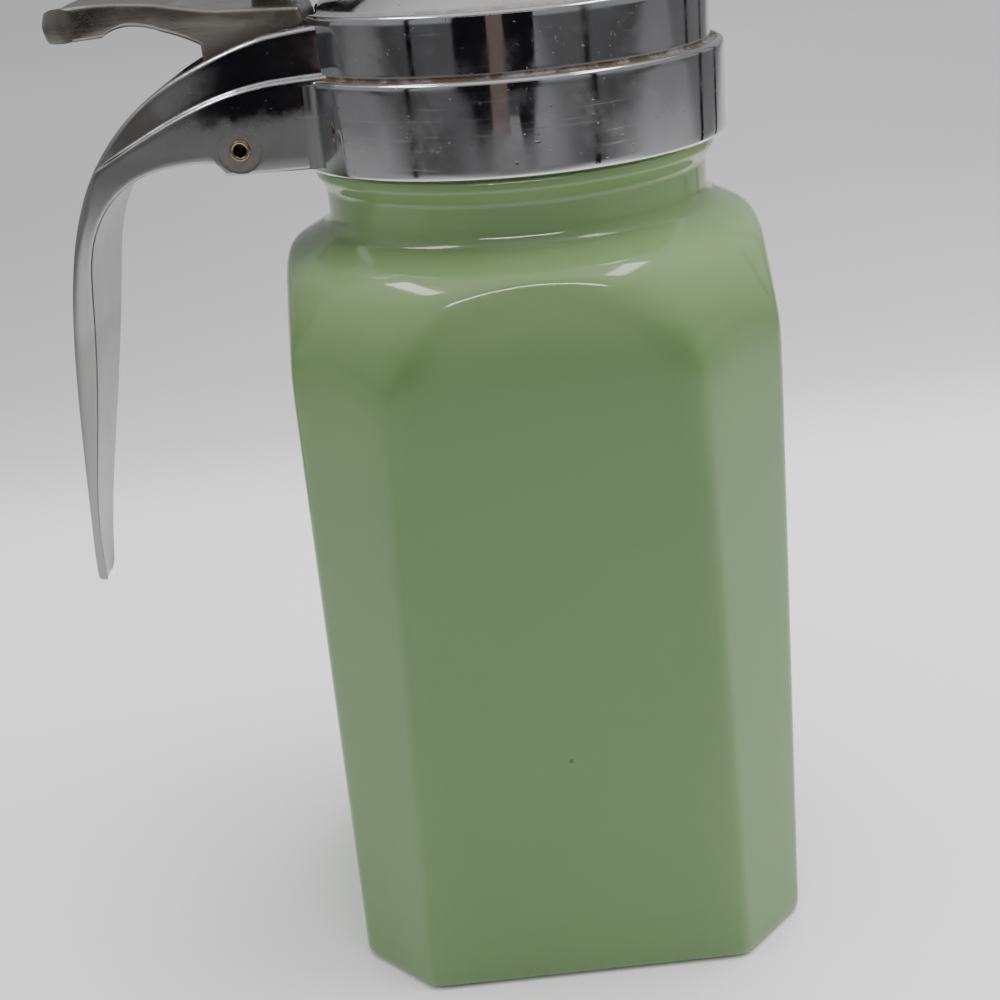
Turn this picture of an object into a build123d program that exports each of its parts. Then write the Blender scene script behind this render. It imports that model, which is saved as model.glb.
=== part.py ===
from build123d import *
import math
import os

os.makedirs("parts", exist_ok=True)

# Table syrup dispenser: square glass jar with a screw-on cast top, pistol-shaped handle,
# thumb lever and a cut-off blade over the pouring spout.
# Millimetres. +Z up, +X towards the spout, handle along -X, origin at the centre of the base.

# ---- glass jar ------------------------------------------------------------------------
BASE_HALF = 35.0          # half width across the flats at the resting plane
TOP_HALF = 34.2           # half width across the flats at SHOULDER_Z
BASE_LEG = 10.5           # leg of the corner chamfer at the resting plane
TOP_LEG = 13.3            # leg of the corner chamfer at SHOULDER_Z
SHOULDER_Z = 95.0         # height where the shoulder starts to cut the flats
EDGE_SOFTNESS = 3.0       # radius of the eight upright edges
FOOT_BEVEL = 1.2          # bevel around the foot
WALL = 3.4                # glass thickness of the body
FLOOR = 7.0               # glass thickness of the bottom
PUSH_UP = 1.2             # depth of the hollow under the base
PUSH_UP_R = 28.0          # radius of that hollow
SHOULDER_FOOT_OUT = 11.4  # turned shoulder, from TOP_HALF outwards, where it leaves the square body
SHOULDER_FOOT_DROP = 10.0 # and how far that lies under SHOULDER_Z
SHOULDER_MID_OUT = 6.7    # a point on its way up
SHOULDER_MID_RISE = 1.4
SHOULDER_TOP_R = 34.6     # its upper rim
SHOULDER_TOP_RISE = 14.6
SHOULDER_BEVEL = 2.6      # softening of the upper rim
NECK_RISE = 18.3          # SHOULDER_Z to the foot of the neck
NECK_H = 5.1              # free height of the neck under the bead
BEAD_H = 3.2              # transfer bead under the screw finish
BEAD_SLOPE = 1.8          # height of its sloping underside
BEAD_OUT = 2.5            # the bead stands out from the finish, the neck a little less
NECK_OUT = 1.3
BEAD_BEVEL = 0.5
FINISH_R = 26.0           # screw finish, without its threads
FINISH_H = 15.0
FINISH_WALL = 3.4         # glass thickness at the mouth

# ---- seal -----------------------------------------------------------------------------
SEAL_T = 1.6
SEAL_INSET = 0.3          # the seal starts this far out from the mouth's edge
SEAL_OVER = 0.8           # and reaches this far past the finish

# ---- cast top: bands and dome ---------------------------------------------------------
SKIRT_GAP = 0.4           # between the glass bead and the lower edge of the skirt
THREAD_ROOM = 1.9         # between the screw finish and the skirt's bore
SKIRT_WALL = 2.4
LOWER_BAND_H = 12.1
BAND_STEP = 1.9           # the upper band is smaller by this
UPPER_BAND_H = 7.9
BAND_BEVEL = 0.6          # upper edges of the bands
DOME_INSET = 1.2          # ledge around the foot of the dome
DOME_RISE = 8.2
DOME_WALL = 2.0
CHAMBER_INSET = 5.0       # wall of the upper band
CHAMBER_TOP_R = 6.0       # flat ceiling of that room

# ---- cast top: spout and blade track --------------------------------------------------
TRACK_RISE = 0.6          # the flat that the blade runs over lies above the dome's crown
TRACK_DEPTH = 7.3         # its block reaches down into the dome
TRACK_BACK = 9.4          # its rear end stands back from the upper band
TRACK_HALF = 10.6
TRACK_CORNER = 4.0
TRACK_TAPER = 12.3        # length over which it narrows to the spout
TRACK_NOSE = 4.0          # its height at the spout
SPOUT_TILT = 42.0         # degrees that the spout leans forward
SPOUT_BACK = 4.1          # the spout's axis meets the track inside the band's radius
SPOUT_R = 7.2             # spout's radius there
SPOUT_SPREAD = 0.06       # growth of the radius per length down the axis
SPOUT_BELOW = 17.0        # length of the cone below and above that point
SPOUT_ABOVE = 8.0
SPOUT_WALL = 1.9
MOUTH_R = 4.2
RAIL_BACK = 3.0           # the rails end before the track narrows

# ---- cast top: handle, measured from the lever's pivot --------------------------------
PIVOT_OUT = 6.8           # the pivot lies outside the lower band
PIVOT_UP = 4.0            # and above the skirt's edge
ROOT_HALF = 13.2          # half width of the lower tier and of the bend
TIER_INSET = 1.2          # the upper tier stands back by this on each side
CHEEK = 2.0               # wall left beside the lever in the upper tier
ROOT_IN = 13.1            # the handle's root reaches into the bands
ROOT_TOP = 15.2
BOSS_DROP = 3.2           # underside of the handle's root
GRIP_DROP = 66.6          # pivot to the grip's tip
GRIP_BEND_DROP = 10.0     # below this the grip narrows
GRIP_MID_DROP = 34.0
GRIP_MID_HALF = 8.7
TIP_HALF = 2.9
NOTCH_UP = 13.8           # the lever's nose passes over the band at this height
NOTCH_IN = 12.2

# ---- lever, rivet, spring -------------------------------------------------------------
LEVER_TURN = 30.0         # degrees from rest to fully open
RIVET_R = 1.1
RIVET_BORE_R = 0.85
RIVET_RIM_R = 1.5
RIVET_RIM_T = 0.3
RIVET_RUN = 0.05          # radial play of the rivet in its holes
SIDE_PLAY = 0.3           # lever to cheek, blade to rail
HUB_R = 3.6
HUB_NEAR = 3.6            # the hub stops here on one side to leave room for the spring
LEVER_WIDE_Z = 5.2        # above the pivot by this the lever is as wide as the channel
WEB_TOP = 12.0            # height of the narrower web over the pivot
THUMB_Z = 15.1            # underside of the thumb rest over the pivot
THUMB_T = 4.4             # its height at the end
THUMB_L = 24.2            # pivot to its end
THUMB_END_BULGE = 0.5     # its end face is slightly rounded in the side view
THUMB_CORNER = 5.0        # its rear corners, seen from above
THUMB_DISH_R = 30.0
THUMB_DISH = 1.3          # depth of the hollow for the thumb
PIN_DROP = 2.5            # the drive pin's highest place under the blade
DRIVE_PIN_R = 1.2
HORN_HALF = 5.6
HORN_R = 2.1
WIRE_R = 0.45
LEG_R = 0.4               # spring legs, just under the wire so that they start inside the coil
COIL_PLAY = 0.45
COIL_L = 5.0

# ---- blade and strap ------------------------------------------------------------------
BLADE_T = 1.0
BLADE_HALF = 7.0
BLADE_RISE = 0.3          # play under the blade and over it
BLADE_OVERHANG = 0.4      # the blade's nose past the spout's lip
EAR_L = 7.0
EAR_DROP = 5.5            # ears below the blade
EAR_INNER_RUN = 0.3       # ear to horn
STRAP_T = 0.8
STRAP_L = 22.0
STRAP_BACK = 4.5          # the strap starts this far before the rails' rear end

# ---- heights that stack up from the resting plane -------------------------------------
NECK_Z = SHOULDER_Z + NECK_RISE
BEAD_LOW = NECK_Z + NECK_H
BEAD_HIGH = BEAD_LOW + BEAD_H
RIM_Z = BEAD_HIGH + FINISH_H
SEAT_Z = RIM_Z + SEAL_T
SKIRT_LOW_Z = BEAD_HIGH + SKIRT_GAP
LOWER_BAND_Z = SKIRT_LOW_Z + LOWER_BAND_H
UPPER_BAND_Z = LOWER_BAND_Z + UPPER_BAND_H
DOME_Z = UPPER_BAND_Z + DOME_RISE
TRACK_Z = DOME_Z + TRACK_RISE
TRACK_LOW_Z = TRACK_Z - TRACK_DEPTH
BLADE_Z = TRACK_Z + BLADE_RISE
STRAP_Z = BLADE_Z + BLADE_T + BLADE_RISE

# ---- radii and places that follow -----------------------------------------------------
NECK_R = FINISH_R + NECK_OUT
BEAD_R = FINISH_R + BEAD_OUT
BORE_R = FINISH_R - FINISH_WALL
SKIRT_BORE_R = FINISH_R + THREAD_ROOM
LOWER_BAND_R = SKIRT_BORE_R + SKIRT_WALL
UPPER_BAND_R = LOWER_BAND_R - BAND_STEP
DOME_R = UPPER_BAND_R - DOME_INSET
CHAMBER_R = UPPER_BAND_R - CHAMBER_INSET
TRACK_BACK_X = TRACK_BACK - UPPER_BAND_R
SPOUT_LIP_X = UPPER_BAND_R - SPOUT_BACK
TRACK_FRONT_X = SPOUT_LIP_X - TRACK_TAPER
RAIL_FRONT_X = TRACK_FRONT_X - RAIL_BACK
RAIL_REAR_X = TRACK_BACK_X + TRACK_CORNER
STRAP_X = RAIL_REAR_X - STRAP_BACK + STRAP_L / 2.0
PIVOT_X = -LOWER_BAND_R - PIVOT_OUT
PIVOT_Z = SKIRT_LOW_Z + PIVOT_UP
TIP_Z = PIVOT_Z - GRIP_DROP
BOSS_LOW_Z = PIVOT_Z - BOSS_DROP
UPPER_HALF = ROOT_HALF - TIER_INSET
CHANNEL_HALF = UPPER_HALF - CHEEK
LEVER_HALF = CHANNEL_HALF - SIDE_PLAY
RAIL_HALF = BLADE_HALF + SIDE_PLAY
LIP_STRETCH = 1.0 / math.cos(math.radians(SPOUT_TILT))
SPOUT_TIP_X = SPOUT_LIP_X + SPOUT_R * LIP_STRETCH
MOUTH_X = SPOUT_TIP_X - (SPOUT_WALL + MOUTH_R) * LIP_STRETCH
PIN_TOP_Z = BLADE_Z - PIN_DROP
PIN_ARM = PIN_TOP_Z - PIVOT_Z
STROKE = 2.0 * PIN_ARM * math.sin(math.radians(LEVER_TURN / 2.0))
PIN_X = PIVOT_X + PIN_ARM * math.sin(math.radians(LEVER_TURN / 2.0))
PIN_Z = PIVOT_Z + PIN_ARM * math.cos(math.radians(LEVER_TURN / 2.0))
REACH = 4.0 * BASE_HALF   # longer than any part that a cutting block has to clear


def at_pivot(*points):
    """Points given from the lever's pivot, as (x, z) in the part's frame."""
    return [(PIVOT_X + x, PIVOT_Z + z) for x, z in points]


def in_side_view(edges):
    """Closed face in the XZ plane from edges drawn as (x, z)."""
    return Face(Wire([Plane.XZ.from_local_coords(edge) for edge in edges]))


def turned(points, bevels):
    """Solid of revolution about Z from an (r, z) outline; bevels maps a corner's index to its leg."""
    outline = Face(Wire.make_polygon([Vector(r, 0, z) for r, z in points], close=True))
    for index, leg in bevels.items():
        r, z = points[index]
        corner = outline.vertices().sort_by_distance(Vector(r, 0, z))[0]
        outline = outline.chamfer_2d(leg, leg, [corner])
    return revolve(outline, Axis.Z)


def side_plate(outline, half):
    """Extrudes an outline that lies in the XZ plane to both sides of the middle plane."""
    return extrude(Pos(0, -half, 0) * outline, amount=2.0 * half, dir=(0, 1, 0))


def across(x, z, radius, y0, y1):
    """Cylinder along Y."""
    plane = Plane(origin=(x, y0, z), x_dir=(1, 0, 0), z_dir=(0, 1, 0))
    return extrude(plane * Circle(radius), amount=y1 - y0)


# ---- glass jar ------------------------------------------------------------------------
def drafted_square(base_half, top_half, inset, low, high, turn):
    """Square block whose faces lean from base_half at z = 0 to top_half at SHOULDER_Z, moved in by inset."""
    lean = (base_half - top_half) / SHOULDER_Z
    side = 2.0 * (base_half - lean * low - inset)
    plan = Pos(0, 0, low) * Rectangle(side, side, rotation=turn)
    return extrude(plan, amount=high - low, taper=math.degrees(math.atan(lean)))


def jar_prism(inset, low, high):
    """Leaning square body with cut corners, moved in by the wall, between two heights."""
    root2 = math.sqrt(2.0)
    base_corner = (2.0 * BASE_HALF - BASE_LEG) / root2
    top_corner = (2.0 * TOP_HALF - TOP_LEG) / root2
    body = drafted_square(BASE_HALF, TOP_HALF, inset, low, high, 0.0)
    return body & drafted_square(base_corner, top_corner, inset, low, high, 45.0)


def shoulder_outline(inset, top_r, top_z):
    """Half section of the shoulder's turned envelope, moved in by the wall, with a straight neck."""
    foot = Vector(TOP_HALF + SHOULDER_FOOT_OUT - inset, 0, SHOULDER_Z - SHOULDER_FOOT_DROP)
    middle = Vector(TOP_HALF + SHOULDER_MID_OUT - inset, 0, SHOULDER_Z + SHOULDER_MID_RISE)
    crest = Vector(SHOULDER_TOP_R - inset, 0, SHOULDER_Z + SHOULDER_TOP_RISE - inset * 0.5)
    neck = Vector(top_r, 0, NECK_Z - inset)
    top = [Vector(top_r, 0, top_z), Vector(0, 0, top_z), Vector(0, 0, 0), Vector(foot.X, 0, 0)]
    return Face(Wire.make_polygon([foot, middle, crest, neck] + top, close=True))


def shoulder_cap(neck_z):
    """Turned envelope of the jar's outside."""
    outline = shoulder_outline(0.0, NECK_R, neck_z)
    crest = Vector(SHOULDER_TOP_R, 0, SHOULDER_Z + SHOULDER_TOP_RISE)
    crest = outline.vertices().sort_by_distance(crest)[0]
    outline = outline.chamfer_2d(SHOULDER_BEVEL, SHOULDER_BEVEL, [crest])
    return revolve(outline, Axis.Z)


def glass_jar():
    """Square jar: prism and turned shoulder, neck, bead and finish, hollow inside."""
    neck_z = (NECK_Z + BEAD_LOW) / 2.0
    body = jar_prism(0.0, 0.0, RIM_Z)
    body = fillet(body.edges().filter_by(lambda e: abs(e.tangent_at(0.5).Z) > 0.9), EDGE_SOFTNESS)
    body = chamfer(body.faces().sort_by(Axis.Z)[0].edges(), FOOT_BEVEL)
    body = body & shoulder_cap(neck_z)
    finish = turned(
        [
            (0, neck_z),
            (NECK_R, neck_z),
            (NECK_R, BEAD_LOW),
            (BEAD_R, BEAD_LOW + BEAD_SLOPE),
            (BEAD_R, BEAD_HIGH),
            (FINISH_R, BEAD_HIGH),
            (FINISH_R, RIM_Z),
            (0, RIM_Z),
        ],
        {3: BEAD_BEVEL, 4: BEAD_BEVEL},
    )
    hollow = jar_prism(WALL, FLOOR, RIM_Z + 2.0)
    hollow = hollow & revolve(shoulder_outline(WALL, BORE_R, RIM_Z + 2.0), Axis.Z)
    push_up = extrude(Circle(PUSH_UP_R), amount=PUSH_UP)
    return body + finish - hollow - push_up


def jar_seal():
    """Flat ring on the rim of the glass."""
    ring = Circle(FINISH_R + SEAL_OVER) - Circle(BORE_R + SEAL_INSET)
    return Pos(0, 0, RIM_Z) * extrude(ring, amount=SEAL_T)


# ---- cast top -------------------------------------------------------------------------
def dome_arc(foot_r, foot_z, crown_z):
    """Radius and centre height of the ball whose cap stands on foot_r at foot_z."""
    rise = crown_z - foot_z
    radius = (foot_r**2 + rise**2) / (2.0 * rise)
    return radius, crown_z - radius


def top_shell():
    """Two bands and the dome, solid inside."""
    bands = turned(
        [
            (0, SKIRT_LOW_Z),
            (LOWER_BAND_R, SKIRT_LOW_Z),
            (LOWER_BAND_R, LOWER_BAND_Z),
            (UPPER_BAND_R, LOWER_BAND_Z),
            (UPPER_BAND_R, UPPER_BAND_Z),
            (0, UPPER_BAND_Z),
        ],
        {2: BAND_BEVEL, 4: BAND_BEVEL},
    )
    radius, centre = dome_arc(DOME_R, UPPER_BAND_Z, DOME_Z)
    cap = Pos(0, 0, centre) * Sphere(radius)
    column = Pos(0, 0, LOWER_BAND_Z) * extrude(Circle(DOME_R), amount=DOME_Z)
    return bands + (cap & column)


def top_inside():
    """Room inside the top: threaded bore, and the chamber under the dome."""
    bore = Pos(0, 0, SKIRT_LOW_Z - 1.0) * extrude(Circle(SKIRT_BORE_R), amount=SEAT_Z - SKIRT_LOW_Z + 1.0)
    chamber = turned(
        [
            (0, SEAT_Z - 0.5),
            (CHAMBER_R, SEAT_Z - 0.5),
            (CHAMBER_R, UPPER_BAND_Z - DOME_WALL / 2.0),
            (CHAMBER_TOP_R, DOME_Z - DOME_WALL),
            (0, DOME_Z - DOME_WALL),
        ],
        {},
    )
    return bore + chamber


def leaning_cone(x, radius, spread):
    """Cone leaning forward by SPOUT_TILT, cut level at the track; radius is taken at its axis there."""
    top_r = radius - SPOUT_ABOVE * spread
    low_r = radius + SPOUT_BELOW * spread
    cone = Pos(0, 0, (SPOUT_ABOVE - SPOUT_BELOW) / 2.0) * Cone(low_r, top_r, SPOUT_ABOVE + SPOUT_BELOW)
    cone = Pos(x, 0, TRACK_Z) * Rot(0, SPOUT_TILT, 0) * cone
    level = Pos(x, 0, TRACK_Z - REACH / 2.0) * Box(REACH, REACH, REACH)
    return cone & level


def spout_outside():
    """Pouring spout and the flat track behind it."""
    cone = leaning_cone(SPOUT_LIP_X, SPOUT_R, SPOUT_SPREAD)
    plan = Polyline(
        (TRACK_BACK_X, -TRACK_HALF), (TRACK_FRONT_X, -TRACK_HALF),
        (SPOUT_LIP_X, -SPOUT_R), (SPOUT_LIP_X, SPOUT_R),
        (TRACK_FRONT_X, TRACK_HALF), (TRACK_BACK_X, TRACK_HALF), (TRACK_BACK_X, -TRACK_HALF),
    )
    side = Polyline(
        (TRACK_BACK_X - 2.0, TRACK_Z), (TRACK_BACK_X - 2.0, TRACK_LOW_Z), (TRACK_FRONT_X, TRACK_LOW_Z),
        (SPOUT_LIP_X, TRACK_Z - TRACK_NOSE), (SPOUT_LIP_X, TRACK_Z), (TRACK_BACK_X - 2.0, TRACK_Z),
    )
    track = Pos(0, 0, TRACK_LOW_Z) * extrude(make_face(plan.edges()), amount=TRACK_Z - TRACK_LOW_Z)
    track = track & side_plate(in_side_view(side.edges()), TRACK_HALF + 1.0)
    track = fillet(track.edges().filter_by(Axis.Z).sort_by(Axis.X)[:2], TRACK_CORNER)
    rail_l = RAIL_FRONT_X - RAIL_REAR_X
    rail_w = TRACK_HALF - RAIL_HALF
    rails = Part()
    for side in (-1, 1):
        rail = Pos(RAIL_FRONT_X - rail_l / 2.0, side * (RAIL_HALF + rail_w / 2.0), TRACK_Z - 0.5)
        rails += rail * extrude(RectangleRounded(rail_l, rail_w, rail_w * 0.3), amount=STRAP_Z - TRACK_Z + 0.5)
    return cone + track + rails


def spout_passage():
    """Way from the chamber under the dome to the pouring mouth."""
    lift = Pos(0, 0, 0.01)
    return lift * leaning_cone(MOUTH_X, MOUTH_R, SPOUT_SPREAD)


def handle_side():
    """Side outline of the handle: arched back, hollow-curved inside, tapering grip."""
    top = at_pivot((ROOT_IN, ROOT_TOP), (5.1, 14.1), (-3.4, 11.4), (-11.9, 7.1), (-17.5, 2.1))
    back = at_pivot((-22.2, -5.0), (-25.2, -13.0), (-28.8, -29.5), (-32.0, 12.6 - GRIP_DROP))
    tip = at_pivot((-33.5, 1.6 - GRIP_DROP), (-33.2, -GRIP_DROP), (-32.2, 0.9 - GRIP_DROP))
    inside = at_pivot((-31.3, 9.1 - GRIP_DROP), (-27.8, -40.0), (-23.8, -19.5), (-21.5, -10.2))
    under = at_pivot((-17.5, -4.8), (-12.3, -2.1), (-5.9, -1.3))
    root = at_pivot((-3.4, -1.5), (-2.1, -BOSS_DROP), (ROOT_IN, -BOSS_DROP), (ROOT_IN, ROOT_TOP))
    outer = Spline(*top, *back, tip[0])
    inner = Spline(tip[2], *inside, *under)
    end = ThreePointArc(*tip)
    return in_side_view([outer.edge(), end.edge(), inner.edge()] + Polyline(under[2], *root).edges())


def handle_front():
    """Front outline of the handle: full width at the bend, narrowing to a rounded tip."""
    bend_z = PIVOT_Z - GRIP_BEND_DROP
    mid_z = PIVOT_Z - GRIP_MID_DROP
    rise = TIP_Z + 1.4
    upper_bulge = ((ROOT_HALF + GRIP_MID_HALF) / 2.0 - 0.1, (bend_z + mid_z) / 2.0 + 1.4)
    lower_bulge = ((GRIP_MID_HALF + TIP_HALF) / 2.0 + 0.9, (mid_z + rise) / 2.0)
    upper = ThreePointArc((ROOT_HALF, bend_z), upper_bulge, (GRIP_MID_HALF, mid_z))
    lower = ThreePointArc((GRIP_MID_HALF, mid_z), lower_bulge, (TIP_HALF, rise))
    tip = ThreePointArc((TIP_HALF, rise), (0, TIP_Z), (-TIP_HALF, rise))
    head_z = UPPER_BAND_Z
    head = Polyline((-ROOT_HALF, bend_z), (-ROOT_HALF, head_z), (ROOT_HALF, head_z), (ROOT_HALF, bend_z))
    sides = [upper, lower, upper.mirror(Plane.YZ), lower.mirror(Plane.YZ), tip]
    edges = [side.edge() for side in sides] + list(head.edges())
    return Face(Wire([Plane.YZ.from_local_coords(edge) for edge in edges]))


def tier_step():
    """Strips beside the upper tier that leave the lower tier standing out as a narrow ledge."""
    near = at_pivot((ROOT_IN + 2.0, 8.9), (7.0, 8.5), (-0.6, 7.3), (-8.8, 4.4))
    far = at_pivot((-14.9, 1.5), (-20.3, -1.3), (-26.0, -4.5))
    ledge = Spline(*near, *far)
    high = ROOT_TOP + 10.0
    around = Polyline(far[2], *at_pivot((-40.0, -4.5), (-40.0, high), (ROOT_IN + 2.0, high)), near[0])
    region = in_side_view(list(ledge.edges()) + list(around.edges()))
    return side_plate(region, ROOT_HALF + 1.0) - side_plate(region, UPPER_HALF)


def lever_channel():
    """Open channel between the cheeks; its back wall is where the lever stops."""
    turn = math.radians(LEVER_TURN)
    off = HUB_R + SIDE_PLAY
    back = (-math.sin(turn), math.cos(turn))
    start = (-off * math.cos(turn), -off * math.sin(turn))
    below, above = -2.0 * BOSS_DROP, 2.0 * ROOT_TOP
    low = (start[0] + back[0] * below, start[1] + back[1] * below)
    high = (start[0] + back[0] * above, start[1] + back[1] * above)
    corners = at_pivot(low, high, (NOTCH_IN, high[1]), (NOTCH_IN, low[1]), low)
    channel = side_plate(in_side_view(Polyline(*corners).edges()), CHANNEL_HALF)
    foot_z = corners[0][1] - 1.0
    lower = Pos(0, 0, foot_z) * extrude(Circle(LOWER_BAND_R), amount=LOWER_BAND_Z - foot_z)
    upper = Pos(0, 0, foot_z) * extrude(Circle(UPPER_BAND_R), amount=PIVOT_Z + NOTCH_UP - foot_z)
    return channel - lower - upper


def handle():
    """Handle before the channel and the bores are cut."""
    arm = side_plate(handle_side(), ROOT_HALF + 2.0)
    front = extrude(handle_front(), amount=REACH, dir=(-1, 0, 0))
    body = arm & front
    return body - tier_step()


def top_casting():
    """Screw top, dome, spout and handle in one casting."""
    body = top_shell() + spout_outside() + handle()
    body = body - top_inside() - spout_passage() - lever_channel()
    body = body - across(PIVOT_X, PIVOT_Z, RIVET_R + RIVET_RUN, -ROOT_HALF - 1.0, ROOT_HALF + 1.0)
    return body


# ---- lever and what it carries --------------------------------------------------------
def lever_outline():
    """Side outline of the lever above the hub, at rest."""
    end_x = -THUMB_L
    mid_x = end_x - THUMB_END_BULGE
    end = at_pivot((end_x, THUMB_Z), (mid_x, THUMB_Z + THUMB_T / 2.0), (end_x, THUMB_Z + THUMB_T))
    hollow = at_pivot((-HUB_R, THUMB_Z - 1.7), (-HUB_R - 1.9, THUMB_Z - 0.7), (-HUB_R - 4.8, THUMB_Z + 0.4))
    crest = [hollow[2]] + at_pivot((-12.5, THUMB_Z + 1.4), (-17.6, THUMB_Z + 0.3))
    rest = [end[2]] + at_pivot((-16.5, THUMB_Z + 4.6), (-8.6, THUMB_Z + 4.0))
    neck = [rest[2]] + at_pivot((-4.8, THUMB_Z + 3.2), (-1.0, THUMB_Z + 2.6))
    nose = at_pivot((9.9, THUMB_Z + 2.1), (10.5, THUMB_Z + 0.3), (10.5, NOTCH_UP + 0.3))
    shank = at_pivot((7.4, NOTCH_UP + 0.2), (5.4, 8.4), (HUB_R - 0.4, 0.0), (-HUB_R, 0.0))
    arcs = [ThreePointArc(*points).edge() for points in (hollow, crest, end, rest, neck)]
    under = Line(crest[2], end[0]).edge()
    front = Polyline(neck[2], *nose, *shank, hollow[0])
    return in_side_view(arcs + [under] + list(front.edges()))


def lever_horn():
    """Upright horn in front of the lever, rounded around the drive pin."""
    low = PIVOT_Z + THUMB_Z + 1.5
    back_x = PIN_X - HORN_R
    front_x = PIN_X + HORN_R
    foot = [(back_x - 0.5, low), (front_x + 0.9, low)]
    outline = Polyline(foot[0], (back_x, PIN_Z), (front_x, PIN_Z), foot[1], foot[0])
    head = across(PIN_X, PIN_Z, HORN_R, -HORN_HALF, HORN_HALF)
    return side_plate(in_side_view(outline.edges()), HORN_HALF) + head


def thumb_lever():
    """Cast lever: hub on the rivet, wide web, dished thumb rest behind and a horn in front."""
    plate = side_plate(lever_outline(), LEVER_HALF)
    plan = RectangleRounded(2.0 * THUMB_L, 2.0 * LEVER_HALF, THUMB_CORNER)
    wide = plate & Pos(PIVOT_X - THUMB_END_BULGE, 0, PIVOT_Z + LEVER_WIDE_Z) * extrude(plan, amount=REACH)
    web_w = LEVER_HALF + HUB_NEAR
    web = plate & Pos(0, LEVER_HALF - web_w / 2.0, PIVOT_Z) * Box(REACH, web_w, 2.0 * WEB_TOP)
    hub = across(PIVOT_X, PIVOT_Z, HUB_R, -HUB_NEAR, LEVER_HALF)
    body = wide + web + hub + lever_horn()
    dish_z = PIVOT_Z + THUMB_Z + THUMB_T + THUMB_DISH_R - THUMB_DISH
    dish_l = THUMB_L - 2.0 * HUB_R + 6.0
    dish = Plane(origin=(PIVOT_X - THUMB_L - 6.0, 0, dish_z), z_dir=(1, 0, 0)) * Circle(THUMB_DISH_R)
    body = body - extrude(dish, amount=dish_l)
    body = body - across(PIVOT_X, PIVOT_Z, RIVET_R + RIVET_RUN, -2.0 * LEVER_HALF, 2.0 * LEVER_HALF)
    return body - across(PIN_X, PIN_Z, DRIVE_PIN_R, -2.0 * LEVER_HALF, 2.0 * LEVER_HALF)


def lever_rivet():
    """Hollow rivet with a turned-over rim outside each cheek."""
    reach = ROOT_HALF
    body = across(PIVOT_X, PIVOT_Z, RIVET_R, -reach, reach)
    for y in (-reach - RIVET_RIM_T, reach):
        body += across(PIVOT_X, PIVOT_Z, RIVET_RIM_R, y, y + RIVET_RIM_T)
    return body - across(PIVOT_X, PIVOT_Z, RIVET_BORE_R, -reach - 1.0, reach + 1.0)


def return_spring():
    """Torsion spring beside the hub: a close-wound coil and its two legs."""
    inner = RIVET_R + COIL_PLAY
    outer = inner + 2.0 * WIRE_R
    start_y = SIDE_PLAY + 0.1 - CHANNEL_HALF
    coil = across(PIVOT_X, PIVOT_Z, outer, start_y, start_y + COIL_L)
    coil = coil - across(PIVOT_X, PIVOT_Z, inner, start_y - 1.0, start_y + COIL_L + 1.0)
    mid = inner + WIRE_R
    near_y = start_y + WIRE_R
    far_y = start_y + COIL_L - WIRE_R
    band_x = -math.sqrt(LOWER_BAND_R**2 - near_y**2)
    fixed = Plane(origin=(PIVOT_X, near_y, PIVOT_Z - mid), z_dir=(1, 0, 0)) * Circle(LEG_R)
    fixed = extrude(fixed, amount=band_x - SIDE_PLAY - PIVOT_X)
    moving = Plane(origin=(PIVOT_X - mid, far_y, PIVOT_Z), z_dir=(0, 0, 1)) * Circle(LEG_R)
    moving = extrude(moving, amount=LEVER_WIDE_Z - SIDE_PLAY)
    return coil + fixed + moving


def drive_pin():
    """Cross pin pressed into the horn; its ends run in the ears of the blade."""
    reach = HORN_HALF + EAR_INNER_RUN + BLADE_T
    return across(PIN_X, PIN_Z, DRIVE_PIN_R, -reach, reach)


# ---- blade and strap ------------------------------------------------------------------
def cutoff_slide():
    """Flat blade with a rounded nose over the mouth and two slotted ears bent down behind."""
    front_x = SPOUT_TIP_X + BLADE_OVERHANG
    back_x = PIN_X - EAR_L / 2.0
    nose_x = front_x - BLADE_HALF
    plan = Pos((back_x + nose_x) / 2.0, 0) * Rectangle(nose_x - back_x, 2.0 * BLADE_HALF)
    plan += Pos(nose_x, 0) * Circle(BLADE_HALF)
    body = Pos(0, 0, BLADE_Z) * extrude(plan, amount=BLADE_T)
    ear_in = HORN_HALF + EAR_INNER_RUN
    ear = Pos(PIN_X, 0, BLADE_Z - EAR_DROP / 2.0 + 0.25) * Box(EAR_L, 2.0 * (ear_in + BLADE_T), EAR_DROP + 0.5)
    gap = Pos(PIN_X, 0, BLADE_Z - EAR_DROP / 2.0 - 0.5) * Box(EAR_L + 2.0, 2.0 * ear_in, EAR_DROP + 1.0)
    body = body + (ear - gap)
    slot_w = 2.0 * (DRIVE_PIN_R + BLADE_RISE)
    slot_l = PIN_TOP_Z - PIN_Z + slot_w
    side_y = ear_in + BLADE_T + 1.0
    plane = Plane(origin=(PIN_X, -side_y, (PIN_TOP_Z + PIN_Z) / 2.0), x_dir=(0, 0, 1), z_dir=(0, 1, 0))
    return body - extrude(plane * SlotOverall(slot_l, slot_w), amount=2.0 * side_y)


def slide_guide():
    """Strap across the rails that keeps the blade down."""
    plan = Pos(STRAP_X, 0) * RectangleRounded(STRAP_L, 2.0 * TRACK_HALF, 1.5)
    return Pos(0, 0, STRAP_Z) * extrude(plan, amount=STRAP_T)


for node in (
    glass_jar,
    jar_seal,
    top_casting,
    thumb_lever,
    lever_rivet,
    return_spring,
    drive_pin,
    cutoff_slide,
    slide_guide,
):
    shape = node()
    export_step(shape, "parts/" + node.__name__ + ".step")

print("stroke", round(STROKE, 3), "pin", round(PIN_X, 3), round(PIN_Z, 3), "mouth x", round(MOUTH_X, 2))
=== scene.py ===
import math

import bmesh
import bpy
import numpy as np
from mathutils import Matrix, Vector


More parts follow.
